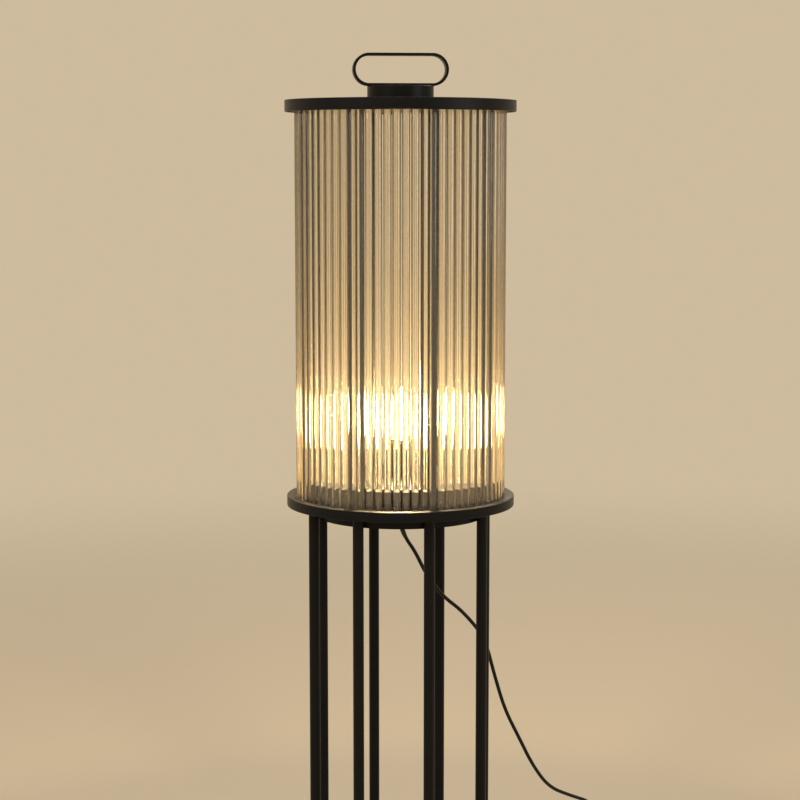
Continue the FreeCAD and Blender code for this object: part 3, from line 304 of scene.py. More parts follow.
def clear_rod(colours):
    """Drawn glass: clear, faintly warm, with slow draw waves along each rod, and dark brown
    painted shade on its sides.
    """
    finish = Finish(
        "drawn_clear_glass",
        Transmission_Weight=0.975,
        IOR=1.5,
        Specular_IOR_Level=0.5,
        Coat_Weight=0.45,
        Coat_Roughness=0.2,
    )
    tint = tuple(colours.glass)
    wave = finish.noise(90.0, 2.0, stretch=(1.0, 1.0, 0.06))
    drawn = finish.noise(700.0, 1.0, stretch=(1.0, 1.0, 0.01))
    cloud = finish.noise(30.0, 2.0, stretch=(1.0, 1.0, 0.2))
    # painted shade: the base colour turns dark brown towards a rod's sides, standing in for the
    # dark surroundings that the sides refract
    painted_shade_facing = finish.node("ShaderNodeLayerWeight", feeds={"Blend": 0.5}, output="Facing")
    sides = finish.between(painted_shade_facing, 0.14, 0.60)
    clear = finish.blend(cloud, tint, tuple(part * 0.97 for part in tint))
    finish.feed("Base Color", finish.blend(sides * 0.96, clear, tuple(colours.sides)))
    finish.feed("Roughness", 0.01 + finish.between(cloud, 0.35, 0.9) * 0.03)
    finish.feed("Normal", finish.relief(wave * 0.8 + drawn * 0.2, 0.00012, 0.75))
    return finish.material


def bulb_envelope(colours):
    """Thin clear bulb glass with a glow that is strongest beside the filaments."""
    finish = Finish(
        "thin_bulb_glass",
        Transmission_Weight=1.0,
        IOR=1.45,
        Alpha=0.30,
        Emission_Strength=300.0,
    )
    low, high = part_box("bulb_filaments")[0].z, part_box("bulb_filaments")[1].z
    height = finish.axis("Z")
    rising = finish.between(height, low - 0.016, low + 0.004)
    fading = 1 - finish.between(height, high - 0.006, high + 0.022)
    film = finish.noise(60.0, 3.0)
    glow = tuple(part ** 0.6 for part in colours.glow)
    finish.feed("Base Color", finish.blend(film, (0.99, 0.97, 0.93), (0.96, 0.94, 0.89)))
    finish.feed("Roughness", film * 0.03)
    finish.feed("Emission Color", finish.blend(rising * fading, (0.0, 0.0, 0.0), glow))
    return finish.material


def glowing_phosphor(colours):
    """Phosphor coat of the glowing rods, brighter where its chips sit."""
    finish = Finish("glowing_phosphor", Roughness=0.6, Emission_Strength=400.0)
    beads = finish.node(
        "ShaderNodeTexWave",
        {"wave_type": "BANDS", "bands_direction": "Z"},
        {"Vector": finish.place, "Scale": 140.0, "Distortion": 0.0},
        output="Fac",
    )
    glow = tuple(colours.glow)
    finish.feed("Base Color", finish.blend(beads, (0.85, 0.62, 0.18), (0.95, 0.78, 0.35)))
    finish.feed("Emission Color", finish.blend(beads, tuple(0.7 * part for part in glow), glow))
    return finish.material


def pressed_felt(colours):
    """Dark pressed felt: matted fibres and pale flecks."""
    finish = Finish("pressed_dark_felt", Roughness=0.95, Sheen_Weight=0.4, Sheen_Roughness=0.5)
    fibres = finish.noise(2400.0, 5.0, 0.75, stretch=(1.0, 1.0, 2.5))
    matted = finish.noise(380.0, 4.0)
    flecks = finish.between(finish.noise(5200.0, 2.0), 0.66, 0.74)
    shade = finish.blend(matted, (0.10, 0.085, 0.07), (0.045, 0.04, 0.034))
    shade = finish.blend(flecks * 0.4, shade, (0.32, 0.28, 0.22))
    finish.feed("Base Color", shade)
    finish.feed("Normal", finish.relief(fibres * 0.7 + matted * 0.3, 0.0004, 0.8))
    return finish.material


def moulded_black(name, colour, gloss, texture, depth):
    """Moulded black plastic or rubber with an eroded tool texture."""
    finish = Finish(name, Specular_IOR_Level=0.45)
    eroded = finish.noise(texture, 3.0, 0.6)
    cloud = finish.noise(22.0, 3.0)
    scuffs = finish.between(finish.noise(130.0, 6.0, 0.7, stretch=(1.0, 0.25, 1.0)), 0.62, 0.75)
    shade = finish.blend(cloud, colour, tuple(1.5 * part for part in colour))
    finish.feed("Base Color", finish.blend(scuffs * 0.22, shade, (0.09, 0.088, 0.085)))
    finish.feed("Roughness", gloss + cloud * 0.08 + scuffs * 0.12)
    finish.feed("Normal", finish.relief(eroded, depth, 0.7))
    return finish.material


def black_plastic(colours):
    """Fine matt plastic of the lampholder, the foot switch and the plug."""
    return moulded_black("fine_matt_black_plastic", (0.016, 0.016, 0.017), 0.42, 1900.0, 0.00006)


def button_plastic(colours):
    """Half gloss plastic of the foot switch's key."""
    return moulded_black("half_gloss_key_plastic", (0.026, 0.026, 0.027), 0.24, 2600.0, 0.00003)


def black_rubber(colours):
    """Matt rubber of the pads and of the coil's strap."""
    return moulded_black("matt_black_rubber", (0.021, 0.020, 0.020), 0.62, 1300.0, 0.00009)


def cord_sheath(colours):
    """Smooth PVC sheath with a faint drawn grain and handling marks."""
    finish = Finish("smooth_black_sheath", Specular_IOR_Level=0.2)
    sheath = tuple(colours.sheath)
    cloud = finish.noise(45.0, 3.0)
    grain = finish.noise(1500.0, 2.0)
    marks = finish.between(finish.noise(240.0, 5.0, 0.7), 0.63, 0.76)
    shade = finish.blend(cloud, sheath, tuple(1.6 * part for part in sheath))
    finish.feed("Base Color", finish.blend(marks * 0.2, shade, (0.085, 0.083, 0.08)))
    finish.feed("Roughness", 0.36 + cloud * 0.1 + marks * 0.15)
    finish.feed("Normal", finish.relief(grain, 0.00005, 0.5))
    return finish.material


def plain_plastic(name, pale, dull):
    """Natural moulded plastic with faint flow clouds."""
    finish = Finish(name, Specular_IOR_Level=0.5)
    cloud = finish.noise(120.0, 3.0)
    grain = finish.noise(2100.0, 2.0)
    finish.feed("Base Color", finish.blend(cloud, pale, dull))
    finish.feed("Roughness", 0.38 + cloud * 0.12)
    finish.feed("Normal", finish.relief(grain, 0.00004, 0.5))
    return finish.material


def white_plastic(colours):
    """Natural plastic of the terminal block."""
    return plain_plastic("natural_white_plastic", (0.74, 0.73, 0.69), (0.66, 0.645, 0.60))


def lead_insulation(colours):
    """Brown insulation of the leads in the drum."""
    return plain_plastic("brown_lead_insulation", (0.40, 0.17, 0.07), (0.31, 0.12, 0.05))


def worked_metal(name, bright, dark, rough, streak, depth=0.00003):
    """Bare or plated metal with lathe streaks and darker blotches."""
    finish = Finish(name, Metallic=1.0)
    streaks = finish.noise(900.0, 3.0, stretch=streak)
    blotch = finish.noise(160.0, 4.0, 0.6)
    finish.feed("Base Color", finish.blend(finish.between(blotch, 0.35, 0.75), bright, dark))
    finish.feed("Roughness", rough + blotch * 0.14 + streaks * 0.06)
    finish.feed("Normal", finish.relief(streaks, depth, 0.6))
    return finish.material


def zinc_steel(colours):
    """Zinc plate of nuts, spacers, bushes and studs."""
    bright, dark = (0.64, 0.65, 0.68), (0.50, 0.49, 0.46)
    return worked_metal("bright_zinc_steel", bright, dark, 0.26, (1, 1, 6))


def black_screw(colours):
    """Blackened steel of the countersunk screws."""
    bright, dark = (0.045, 0.043, 0.042), (0.022, 0.02, 0.02)
    return worked_metal("blackened_screw_steel", bright, dark, 0.34, (3, 3, 1))


def brass_shell(colours):
    """Rolled brass of the lampholder's shell and contact."""
    return worked_metal("rolled_brass", (0.78, 0.57, 0.25), (0.52, 0.34, 0.13), 0.22, (1, 1, 5))


def nickel_plate(colours):
    """Nickel plate of the bulb's cap and the plug's pins."""
    return worked_metal("nickel_plate", (0.74, 0.72, 0.67), (0.60, 0.57, 0.52), 0.16, (1, 1, 5))


def solder_dot(colours):
    """Solder of the bulb's foot contact."""
    bright, dark = (0.52, 0.52, 0.53), (0.33, 0.32, 0.31)
    return worked_metal("dull_solder", bright, dark, 0.42, (1, 1, 1), 0.00008)


FINISHES = {
    "black_satin_paint": satin_coat,
    "rubber_black": black_rubber,
    "felt_dark": pressed_felt,
    "black_plastic": black_plastic,
    "button_plastic": button_plastic,
    "white_plastic": white_plastic,
    "zinc_steel": zinc_steel,
    "black_screws": black_screw,
    "lead_insulation": lead_insulation,
    "brass_shell": brass_shell,
    "nickel_cap": nickel_plate,
    "solder_contact": solder_dot,
    "bulb_glass": bulb_envelope,
    "filament_phosphor": glowing_phosphor,
    "rod_glass": clear_rod,
    "cord_pvc": cord_sheath,
}
finished = {}


def finish_of(slot):
    """The material of a record slot, made once."""
    if slot not in finished:
        finished[slot] = FINISHES[slot](bpy.context.scene.lantern_colours)
    return finished[slot]


# ---- shaping, as by hand ----


def clear_hands():
    """Leaves edit mode and deselects everything."""
    if bpy.context.mode != "OBJECT":
        bpy.ops.object.mode_set(mode="OBJECT")
    bpy.ops.object.select_all(action="DESELECT")


def hold(piece):
    """Makes one piece the only selected and the active one."""
    clear_hands()
    piece.select_set(True)
    bpy.context.view_layer.objects.active = piece


def take_primitive(name):
    """Names the primitive just added and puts its place into its mesh."""
    piece = bpy.context.object
    piece.name = piece.data.name = name
    bpy.ops.object.transform_apply(location=True, rotation=True, scale=True)
    return piece


def pick_faces(piece, wanted):
    """Goes to edit mode with only the faces selected whose centre and normal are wanted."""
    hold(piece)
    bpy.ops.object.mode_set(mode="EDIT")
    bpy.ops.mesh.select_mode(type="FACE")
    bpy.ops.mesh.select_all(action="DESELECT")
    bpy.ops.object.mode_set(mode="OBJECT")
    for face in piece.data.polygons:
        face.select = wanted(face.center, face.normal)
    bpy.ops.object.mode_set(mode="EDIT")


def pick_edges(piece, wanted):
    """Goes to edit mode with only the edges selected whose two ends are wanted."""
    hold(piece)
    bpy.ops.object.mode_set(mode="EDIT")
    bpy.ops.mesh.select_mode(type="EDGE")
    bpy.ops.mesh.select_all(action="DESELECT")
    bpy.ops.object.mode_set(mode="OBJECT")
    points = piece.data.vertices
    for edge in piece.data.edges:
        first, second = (points[number].co for number in edge.vertices)
        edge.select = wanted(first, second)
    bpy.ops.object.mode_set(mode="EDIT")


def close_up(piece, smooth_under=35.0):
    """Merges doubles, turns the faces outwards and smooths the soft edges."""
    hold(piece)
    bpy.ops.object.mode_set(mode="EDIT")
    bpy.ops.mesh.select_all(action="SELECT")
    bpy.ops.mesh.remove_doubles(threshold=1e-6)
    bpy.ops.mesh.normals_make_consistent(inside=False)
    bpy.ops.object.mode_set(mode="OBJECT")
    bpy.ops.object.shade_smooth_by_angle(angle=math.radians(smooth_under))
    return piece


def turned(name, outline, sides, looped=False):
    """A round piece on the axis: a ring extruded from point to point of its outline."""
    clear_hands()
    radius, height = outline[0]
    bpy.ops.mesh.primitive_circle_add(
        vertices=sides,
        radius=radius,
        fill_type="NOTHING" if looped else "NGON",
        location=(0, 0, height),
    )
    piece = take_primitive(name)
    bpy.ops.object.mode_set(mode="EDIT")
    bpy.ops.mesh.select_mode(type="EDGE")
    bpy.ops.mesh.select_all(action="SELECT")
    for next_radius, next_height in outline[1:] + (outline[:1] if looped else []):
        bpy.ops.mesh.extrude_edges_move(
            TRANSFORM_OT_translate={"value": (0, 0, next_height - height)}
        )
        grown = next_radius / radius
        bpy.ops.transform.resize(value=(grown, grown, 1), center_override=(0, 0, next_height))
        radius, height = next_radius, next_height
    if not looped:
        bpy.ops.mesh.edge_face_add()
    return close_up(piece)


def copy_to(piece, shift, name):
    """A copy with its own mesh, moved by shift, its place in its mesh."""
    hold(piece)
    bpy.ops.object.duplicate(linked=False)
    other = bpy.context.object
    other.name = other.data.name = name
    bpy.ops.transform.translate(value=shift)
    bpy.ops.object.transform_apply(location=True, rotation=True, scale=True)
    return other


def joined(parts, name):
    """Several parts of one kind as one piece."""
    clear_hands()
    for part in parts:
        part.select_set(True)
    bpy.context.view_layer.objects.active = parts[0]
    bpy.ops.object.join()
    parts[0].name = parts[0].data.name = name
    return parts[0]


def bevelled(piece, width, segments, angle=30.0):
    """Rounds a piece's hard edges with an applied bevel."""
    hold(piece)
    rounding = piece.modifiers.new("rounding", "BEVEL")
    rounding.width = width
    rounding.segments = segments
    rounding.limit_method = "ANGLE"
    rounding.angle_limit = math.radians(angle)
    bpy.ops.object.modifier_apply(modifier=rounding.name)
    return piece


def fit(piece, body, slot, *nodes):
    """Gives a piece its finish and body, and lets it stand for packed nodes."""
    piece.data.materials.clear()
    piece.data.materials.append(finish_of(slot))
    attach(piece, body)
    if nodes:
        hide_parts(*nodes)
    return piece


def mesh_of_curve(curve):
    """Turns a curve object into a mesh piece."""
    hold(curve)
    bpy.ops.object.convert(target="MESH")
    return close_up(bpy.context.object, 40.0)


# ---- cords ----

CORD_RADIUS = 2.5
LEAD_RADIUS = 0.9
# in millimetres, from the gland under the drum out between the legs, down to the floor and round
# to the foot switch
ROUTE_TO_SWITCH = [
    (0, 0, 639),
    (1.5, 1.3, 628),
    (8, 7, 612),
    (20, 17, 593),
    (34.5, 29.5, 560),
    (57, 49, 526),
    (86, 73, 499),
    (117, 100, 456),
    (132, 113, 397),
    (147, 126, 346),
    (168, 144, 301),
    (189, 161, 255),
    (214, 183, 216),
    (248, 212, 194),
    (283, 236, 176),
    (304, 240, 128),
    (312, 226, 70),
    (311, 196, 23),
    (306, 158, 3.4),
    (301, 126, 3.6),
    (299, 100, 7),
    (299, 84, 7),
]
ROUTE_TO_COIL = [
    (299, -2, 7),
    (299, -15, 7),
    (297, -36, 3.9),
    (292, -58, 3.4),
    (290, -78, 3.3),
    (290, -95, 3.3),
]
ROUTE_TO_PLUG = [(224, -95, 8.8), (224, -83, 8.8), (224, -67, 7), (224, -55, 7)]
COIL_START = (290.0, -100.0, 3.3)
COIL_RADII = (33, 30.25, 27.5, 24.75, 22, 24.75, 27.5, 30.25, 33)
COIL_CLIMB = 5.5
POINTS_A_HALF_TURN = 6


def coil_points():
    """The coil's half turns, which spiral in, climb one layer and spiral out again."""
    x, y, z = COIL_START
    side = -1
    step = math.pi / POINTS_A_HALF_TURN
    # the curve runs inside its points by this much
    outward = 1 / math.cos(step / 2)
    points = []
    for number, radius in enumerate(COIL_RADII):
        middle = x + side * radius
        climb = COIL_CLIMB if number == len(COIL_RADII) // 2 else 0.0
        for tick in range(POINTS_A_HALF_TURN + (number == len(COIL_RADII) - 1)):
            turn = tick * step
            share = tick / POINTS_A_HALF_TURN
            rise = climb * share * share * (3 - 2 * share)
            reach = radius * outward
            across, deep = side * reach * math.cos(turn), side * reach * math.sin(turn)
            points.append((middle - across, y + deep, z + rise))
        x += 2 * radius * side
        z += climb
        side = -side
    return points


def lay_cord(name, route, radius=CORD_RADIUS):
    """A cord as one open NURBS curve on the route's points, given in millimetres."""
    curve = bpy.data.curves.new(name, "CURVE")
    curve.dimensions = "3D"
    spline = curve.splines.new("NURBS")
    spline.points.add(len(route) - 1)
    for point, spot in zip(spline.points, route):
        point.co = (*(part * MM for part in spot), 1.0)
    spline.order_u = 3
    spline.use_endpoint_u = True
    curve.resolution_u = 10
    curve.bevel_depth = radius * MM
    curve.bevel_resolution = 5
    curve.use_fill_caps = True
    cord = bpy.data.objects.new(name, curve)
    bpy.context.scene.collection.objects.link(cord)
    return cord


def middle_line(cord):
    """Points along a cord's middle, as its own spline gives them."""
    bare = cord.copy()
    bare.data = cord.data.copy()
    bare.data.bevel_depth = 0.0
    mesh = bpy.data.meshes.new_from_object(bare)
    line = [point.co.copy() for point in mesh.vertices]
    bpy.data.meshes.remove(mesh)
    bpy.data.curves.remove(bare.data)
    return line


def along(line, distance):
    """The point that far along a line of points."""
    for first, second in zip(line, line[1:]):
        step = (second - first).length
        if distance <= step:
            return first.lerp(second, distance / step)
        distance -= step
    return line[-1]


# length, radius at the housing and radius at the slim end
GLAND_RELIEF = (24 * MM, 3.9 * MM, 2.9 * MM)
SWITCH_RELIEF = (20 * MM, 3.4 * MM, 2.8 * MM)
PLUG_RELIEF = (26 * MM, 4.2 * MM, 2.9 * MM)
RELIEF_RINGS = 7
RELIEF_GROOVE = 0.55 * MM
RELIEF_SEATED = 0.8 * MM


def strain_relief(name, line, length, thick, slim):
    """A tapered, grooved sleeve along the first part of a cord's middle line."""
    start = line[0] + (line[0] - line[1]).normalized() * RELIEF_SEATED
    steps = RELIEF_RINGS * 4
    spots, radii = [start], [thick]
    for number in range(steps + 1):
        share = number / steps
        spots.append(along(line, length * share))
        taper = thick + (slim - thick) * share
        grooved = 0.05 < share < 0.93 and number % 4 == 2
        radii.append(taper - (RELIEF_GROOVE if grooved else 0.0))
    curve = bpy.data.curves.new(name, "CURVE")
    curve.dimensions = "3D"
    spline = curve.splines.new("POLY")
    spline.points.add(len(spots) - 1)
    for point, spot, radius in zip(spline.points, spots, radii):
        point.co = (*spot, 1.0)
        point.radius = radius / thick
    curve.bevel_depth = thick
    curve.bevel_resolution = 8
    curve.use_fill_caps = True
    sleeve = bpy.data.objects.new(name, curve)
    bpy.context.scene.collection.objects.link(sleeve)
    return fit(mesh_of_curve(sleeve), "lamp", "black_plastic")


SENSOR_WIDTH = 36.0
FRAME_SHIFT = (-0.0006, 0.0375)


class LANTERN_OT_camera(bpy.types.Operator):
    """Sets up the camera at the height and dip of an eye in front of the shade"""

    bl_idname = "lantern.camera"
    bl_label = "Camera"

    def execute(self, context):
        stage = context.scene.lantern_stage
        clear_hands()
        bpy.ops.object.camera_add(
            location=(0, -stage.camera_back, stage.camera_height),
            rotation=(math.pi / 2 - stage.camera_dip, 0, 0),
        )
        camera = context.object
        camera.name = "camera"
        camera.data.lens = stage.lens
        camera.data.sensor_width = SENSOR_WIDTH
        camera.data.shift_x, camera.data.shift_y = FRAME_SHIFT
        camera.data.dof.use_dof = False
        context.scene.camera = camera
        return {"FINISHED"}


STRAP_THICK = 0.8 * MM
STRAP_CORNER = 2.2 * MM
STRAP_EDGE = 0.15 * MM
TONGUE_THICK = 0.7 * MM
TONGUE_END = 3.0 * MM
STRAP_RIB = Vector((4.6, 0.6, 0.6)) * MM
STRAP_RIB_EDGE = 0.2 * MM
# how far the ribs lie behind the tongue's end
STRAP_RIBS = (3.2 * MM, 4.5 * MM, 5.8 * MM)


class LANTERN_OT_coil_strap(bpy.types.Operator):
    """Makes the rubber strap round the put-away coil, with its ribbed tongue"""

    bl_idname = "lantern.coil_strap"
    bl_label = "Coil strap"

    def execute(self, context):
        low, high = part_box("coil_tie")
        size = high - low
        clear_hands()
        bpy.ops.mesh.primitive_cube_add(size=1, location=(low + high) / 2, scale=size)
        band = take_primitive("coil_strap")
        pick_edges(band, lambda first, second: abs(first.x - second.x) > 0.5 * size.x)
        bpy.ops.mesh.bevel(offset=STRAP_CORNER, segments=5)
        pick_faces(band, lambda middle, normal: abs(normal.x) > 0.9)
        bpy.ops.mesh.inset(thickness=STRAP_THICK)
        bpy.ops.mesh.bridge_edge_loops()
        bevelled(band, STRAP_EDGE, 2, 60)
        # the tongue lies on top, with three grip ribs and a rounded end
        tongue_low = Vector((low.x + STRAP_THICK, low.y + 4.5 * MM, high.z - 0.1 * MM))
        tongue_size = Vector((size.x - 2 * STRAP_THICK, size.y - 7.5 * MM, TONGUE_THICK))
        clear_hands()
        bpy.ops.mesh.primitive_cube_add(
            size=1, location=tongue_low + tongue_size / 2, scale=tongue_size
        )
        tongue = take_primitive("strap_tongue")
        end = tongue_low.y + tongue_size.y
        pick_edges(
            tongue,
            lambda first, second: min(first.y, second.y) > end - 0.1 * MM
            and abs(first.z - second.z) > 0.5 * tongue_size.z,
        )
        bpy.ops.mesh.bevel(offset=TONGUE_END, segments=6)
        close_up(bevelled(tongue, STRAP_EDGE, 2))
        parts = [band, tongue]
        for number, back in enumerate(STRAP_RIBS):
            spot = (tongue_low.x + tongue_size.x / 2, end - back, high.z + STRAP_RIB.z)
            clear_hands()
            bpy.ops.mesh.primitive_cube_add(size=1, location=spot, scale=STRAP_RIB)
            rib = take_primitive(f"strap_rib_{number}")
            parts.append(bevelled(rib, STRAP_RIB_EDGE, 3))
        fit(close_up(joined(parts, "coil_strap")), "lamp", "rubber_black", "coil_tie")
        return {"FINISHED"}


PLUG_FACE = 7.0
PLUG_CORNER = 3.5 * MM
PLUG_RIM = 1.2 * MM
PLUG_RIBS = 6
PLUG_RIB_PITCH = 2.6
# behind the plug's face: distance, share of the width, share of the thickness
PLUG_SHOULDER = [(8.0, 0.985, 0.97), (10.0, 0.93, 0.93), (13.0, 0.88, 0.90)]
PLUG_NECK = [(31.0, 0.60, 0.84), (34.0, 0.46, 0.78), (37.0, 0.37, 0.72), (38.0, 0.34, 0.66)]


def plug_sections():
    """The plug's body from its face backwards: shoulder, grip ribs and neck."""
    ribs = []
    for number in range(PLUG_RIBS):
        back = 14.0 + PLUG_RIB_PITCH * number
        share = 0.86 - 0.03 * number
        ribs += [(back, share - 0.06, 0.82), (back + 1.0, share - 0.06, 0.82)]
        ribs += [(back + 1.3, share - 0.01, 0.89), (back + 2.3, share - 0.01, 0.89)]
    return PLUG_SHOULDER + ribs + PLUG_NECK


class LANTERN_OT_plug(bpy.types.Operator):
    """Moulds the plug's body: a full face for the pins, a ribbed waist and a slim neck"""

    bl_idname = "lantern.plug"
    bl_label = "Plug body"

    def execute(self, context):
        low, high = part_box("plug_body")
        middle = (low + high) / 2
        wide, _, thick = high - low
        reach = PLUG_FACE * MM
        clear_hands()
        face = (middle.x, high.y - reach / 2, middle.z)
        bpy.ops.mesh.primitive_cube_add(size=1, location=face, scale=(wide, reach, thick))
        plug = take_primitive("plug_shell")
        pick_edges(plug, lambda first, second: abs(first.y - second.y) > 0.5 * reach)
        bpy.ops.mesh.bevel(offset=PLUG_CORNER, segments=6)
        pick_edges(plug, lambda first, second: min(first.y, second.y) > high.y - 0.1 * MM)
        bpy.ops.mesh.bevel(offset=PLUG_RIM, segments=3)
        pick_faces(plug, lambda centre, normal: normal.y < -0.9)
        at, width, depth = PLUG_FACE, 1.0, 1.0
        for back, next_width, next_depth in plug_sections():
            bpy.ops.mesh.extrude_region_move(
                TRANSFORM_OT_translate={"value": (0, (at - back) * MM, 0)}
            )
            bpy.ops.transform.resize(
                value=(next_width / width, 1, next_depth / depth), center_override=middle
            )
            at, width, depth = back, next_width, next_depth
        fit(close_up(plug), "lamp", "black_plastic", "plug_body")
        return {"FINISHED"}


class LANTERN_OT_cords(bpy.types.Operator):
    """Lays the cord to the foot switch and on through its coil to the plug"""

    bl_idname = "lantern.cords"
    bl_label = "Cords"

    def execute(self, context):
        first = lay_cord("cord_to_switch", ROUTE_TO_SWITCH)
        fit(first, "lamp", "cord_pvc", "cord_lead")
        second = lay_cord("cord_to_plug", ROUTE_TO_COIL + coil_points() + ROUTE_TO_PLUG)
        fit(second, "lamp", "cord_pvc", "cord_tail", "cord_coil", "cord_end")

        line = middle_line(first)
        back = middle_line(second)
        at_gland = strain_relief("relief_at_gland", line, *GLAND_RELIEF)
        into_switch = strain_relief("relief_into_switch", line[::-1], *SWITCH_RELIEF)
        out_of_switch = strain_relief("relief_out_of_switch", back, *SWITCH_RELIEF)
        at_plug = strain_relief("relief_at_plug", back[::-1], *PLUG_RELIEF)

        return {"FINISHED"}


ROD_FACETS = 48
# how a fire polished end rounds off: share of the polish outwards and share of it upwards
POLISH_CURVE = ((0.0, 0.0), (0.55, 0.16), (0.86, 0.48), (1.0, 1.0))


class LANTERN_OT_glass_rods(bpy.types.Operator):
    """Makes one fire polished glass rod and stands copies of it round the ring"""

    bl_idname = "lantern.glass_rods"
    bl_label = "Glass rods"

    def execute(self, context):
        rods = context.scene.lantern_rods
        foot, top = node_foot("glass_rods_front"), node_top("glass_rods_front")
        slim = rods.radius - rods.polish
        rising = [(slim + rods.polish * out, foot + rods.polish * up) for out, up in POLISH_CURVE]
        falling = [(radius, top + foot - height) for radius, height in rising[::-1]]
        pattern = turned("rod_pattern", rising + falling, ROD_FACETS)
        groups = {"front_rods": [], "rear_rods": []}
        half = rods.count // 2
        for number in range(rods.count):
            angle = rods.first + 2 * math.pi * number / rods.count
            side = "front_rods" if number < half else "rear_rods"
            spot = (rods.ring * math.sin(angle), -rods.ring * math.cos(angle), 0)
            groups[side].append(copy_to(pattern, spot, f"rod_{number}"))
        bpy.data.objects.remove(pattern)
        for side, node in (("front_rods", "glass_rods_front"), ("rear_rods", "glass_rods_rear")):
            piece = fit(joined(groups[side], side), "lamp", "rod_glass", node)
            piece.visible_shadow = False
        return {"FINISHED"}


FELT_INSIDE = 127 * MM
FELT_EDGE = 0.6 * MM
FELT_FACETS = 240


class LANTERN_OT_felt_rings(bpy.types.Operator):
    """Cuts the felt rings that the rods stand on and that lie over their tops"""

    bl_idname = "lantern.felt_rings"
    bl_label = "Felt rings"

    def execute(self, context):
        inner, soft, worn = FELT_INSIDE, FELT_EDGE, 0.3 * FELT_EDGE
        for name, node in (("foot_felt", "rod_rest_ring"), ("top_felt", "rod_cushion")):
            low, high = node_foot(node), node_top(node)
            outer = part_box(node)[1].x
            outline = [(inner, low + soft), (inner, high - soft), (inner + worn, high - worn)]
            outline += [(inner + soft, high), (outer - soft, high), (outer - worn, high - worn)]
            outline += [(outer, high - soft), (outer, low + soft), (outer - worn, low + worn)]
            outline += [(outer - soft, low), (inner + soft, low), (inner + worn, low + worn)]
            ring = turned(name, outline, FELT_FACETS, looped=True)
            fit(ring, "lamp", "felt_dark", node)
        return {"FINISHED"}


class LANTERN_OT_drum_leads(bpy.types.Operator):
    """Lays the two leads from the terminal block up into the lampholder's tube"""

    bl_idname = "lantern.drum_leads"
    bl_label = "Drum leads"

    def execute(self, context):
        leads = []
        for side in (-1, 1):
            route = [(30, 6 * side, 655.5), (24, 6 * side, 655.5), (18, 6 * side, 655.5)]
            route += [(9, 4 * side, 666), (4, 2.2 * side, 678.8)]
            route += [(0, 1.4 * side, 684), (0, 1.4 * side, 689.3)]
            leads.append(mesh_of_curve(lay_cord(f"drum_lead_{side}", route, LEAD_RADIUS)))
        fit(joined(leads, "drum_leads"), "lamp", "lead_insulation", "holder_leads")
        return {"FINISHED"}


# head radius, thread radius, length and half the socket's corners, in millimetres
FRAME_SCREW = (5.95, 3.0, 22.0, 2.31)
SMALL_SCREW = (3.9, 2.0, 10.0, 1.44)
SCREW_FACETS = 32
FRAME_TURN = math.radians(18)
HANDLE_TURN = math.radians(5.5)
# reach of each ring of screws from the axis, in millimetres
TUBE_RING, COVER_RING, NECK_RING, HANDLE_RING = 119.0, 103.0, 38.0, 20.0
LID_UNDERSIDE = 1188.0 * MM
HANDLE_BAR = 1211.5 * MM


class LANTERN_OT_screws(bpy.types.Operator):
    """Turns one countersunk screw of each size, broaches its hexagon socket and places copies"""

    bl_idname = "lantern.screws"
    bl_label = "Screws"

    def execute(self, context):
        lid_top, base_under = node_top("top_cover"), node_foot("base_plate")
        places = []
        for number in range(8):
            spot = self.spot(TUBE_RING, FRAME_TURN + number * math.pi / 4)
            places += [(*spot, lid_top, False), (*spot, base_under, True)]
        self.place("frame_screw_set", "frame_screws", FRAME_SCREW, places)
        places = []
        for number in range(4):
            quarter = number * math.pi / 2
            spot = self.spot(COVER_RING, quarter)
            places.append((*spot, node_foot("drum_cover"), True))
            spot = self.spot(NECK_RING, HANDLE_TURN + quarter)
            places.append((*spot, LID_UNDERSIDE, True))
        for side in (-1, 1):
            spot = self.spot(HANDLE_RING, HANDLE_TURN + side * math.pi / 2)
            places.append((*spot, HANDLE_BAR, False))
        self.place("small_screw_set", "small_screws", SMALL_SCREW, places)
        return {"FINISHED"}

    @staticmethod
    def spot(reach, angle):
        """Where a screw stands, from its reach in millimetres and its angle from the front."""
        return reach * MM * math.sin(angle), -reach * MM * math.cos(angle)

    def pattern(self, name, head, thread, length, socket):
        """One screw with its head's face up at the origin."""
        cone = head - thread
        outline = [(thread - 0.5, -length), (thread, 0.5 - length), (thread, -cone - 0.4)]
        outline += [(head, -0.4), (head, -0.2), (head - 0.2, 0.0)]
        outline = [(radius * MM, height * MM) for radius, height in outline]
        screw = turned(name, outline, SCREW_FACETS)
        clear_hands()
        bpy.ops.mesh.primitive_cylinder_add(
            vertices=6, radius=socket * MM, depth=2 * cone * MM, location=(0, 0, 0)
        )
        broach = take_primitive("broach")
        hold(screw)
        socket_cut = screw.modifiers.new("socket", "BOOLEAN")
        socket_cut.operation = "DIFFERENCE"
        socket_cut.solver = "EXACT"
        socket_cut.object = broach
        bpy.ops.object.modifier_apply(modifier=socket_cut.name)
        bpy.data.objects.remove(broach)
        return close_up(screw)

    def place(self, name, node, sizes, places):
        """Copies of one screw at their places, some of them turned head down."""
        upright = self.pattern("screw_pattern", *sizes)
        hanging = copy_to(upright, (0, 0, 0), "screw_pattern_hanging")
        bpy.ops.transform.rotate(value=math.pi, orient_axis="X", center_override=(0, 0, 0))
        bpy.ops.object.transform_apply(location=True, rotation=True, scale=True)
        screws = []
        for x, y, z, upwards in places:
            pattern = hanging if upwards else upright
            screws.append(copy_to(pattern, (x, y, z), f"screw_{len(screws)}"))
        for pattern in (upright, hanging):
            bpy.data.objects.remove(pattern)
        fit(joined(screws, name), "lamp", "black_screws", node)


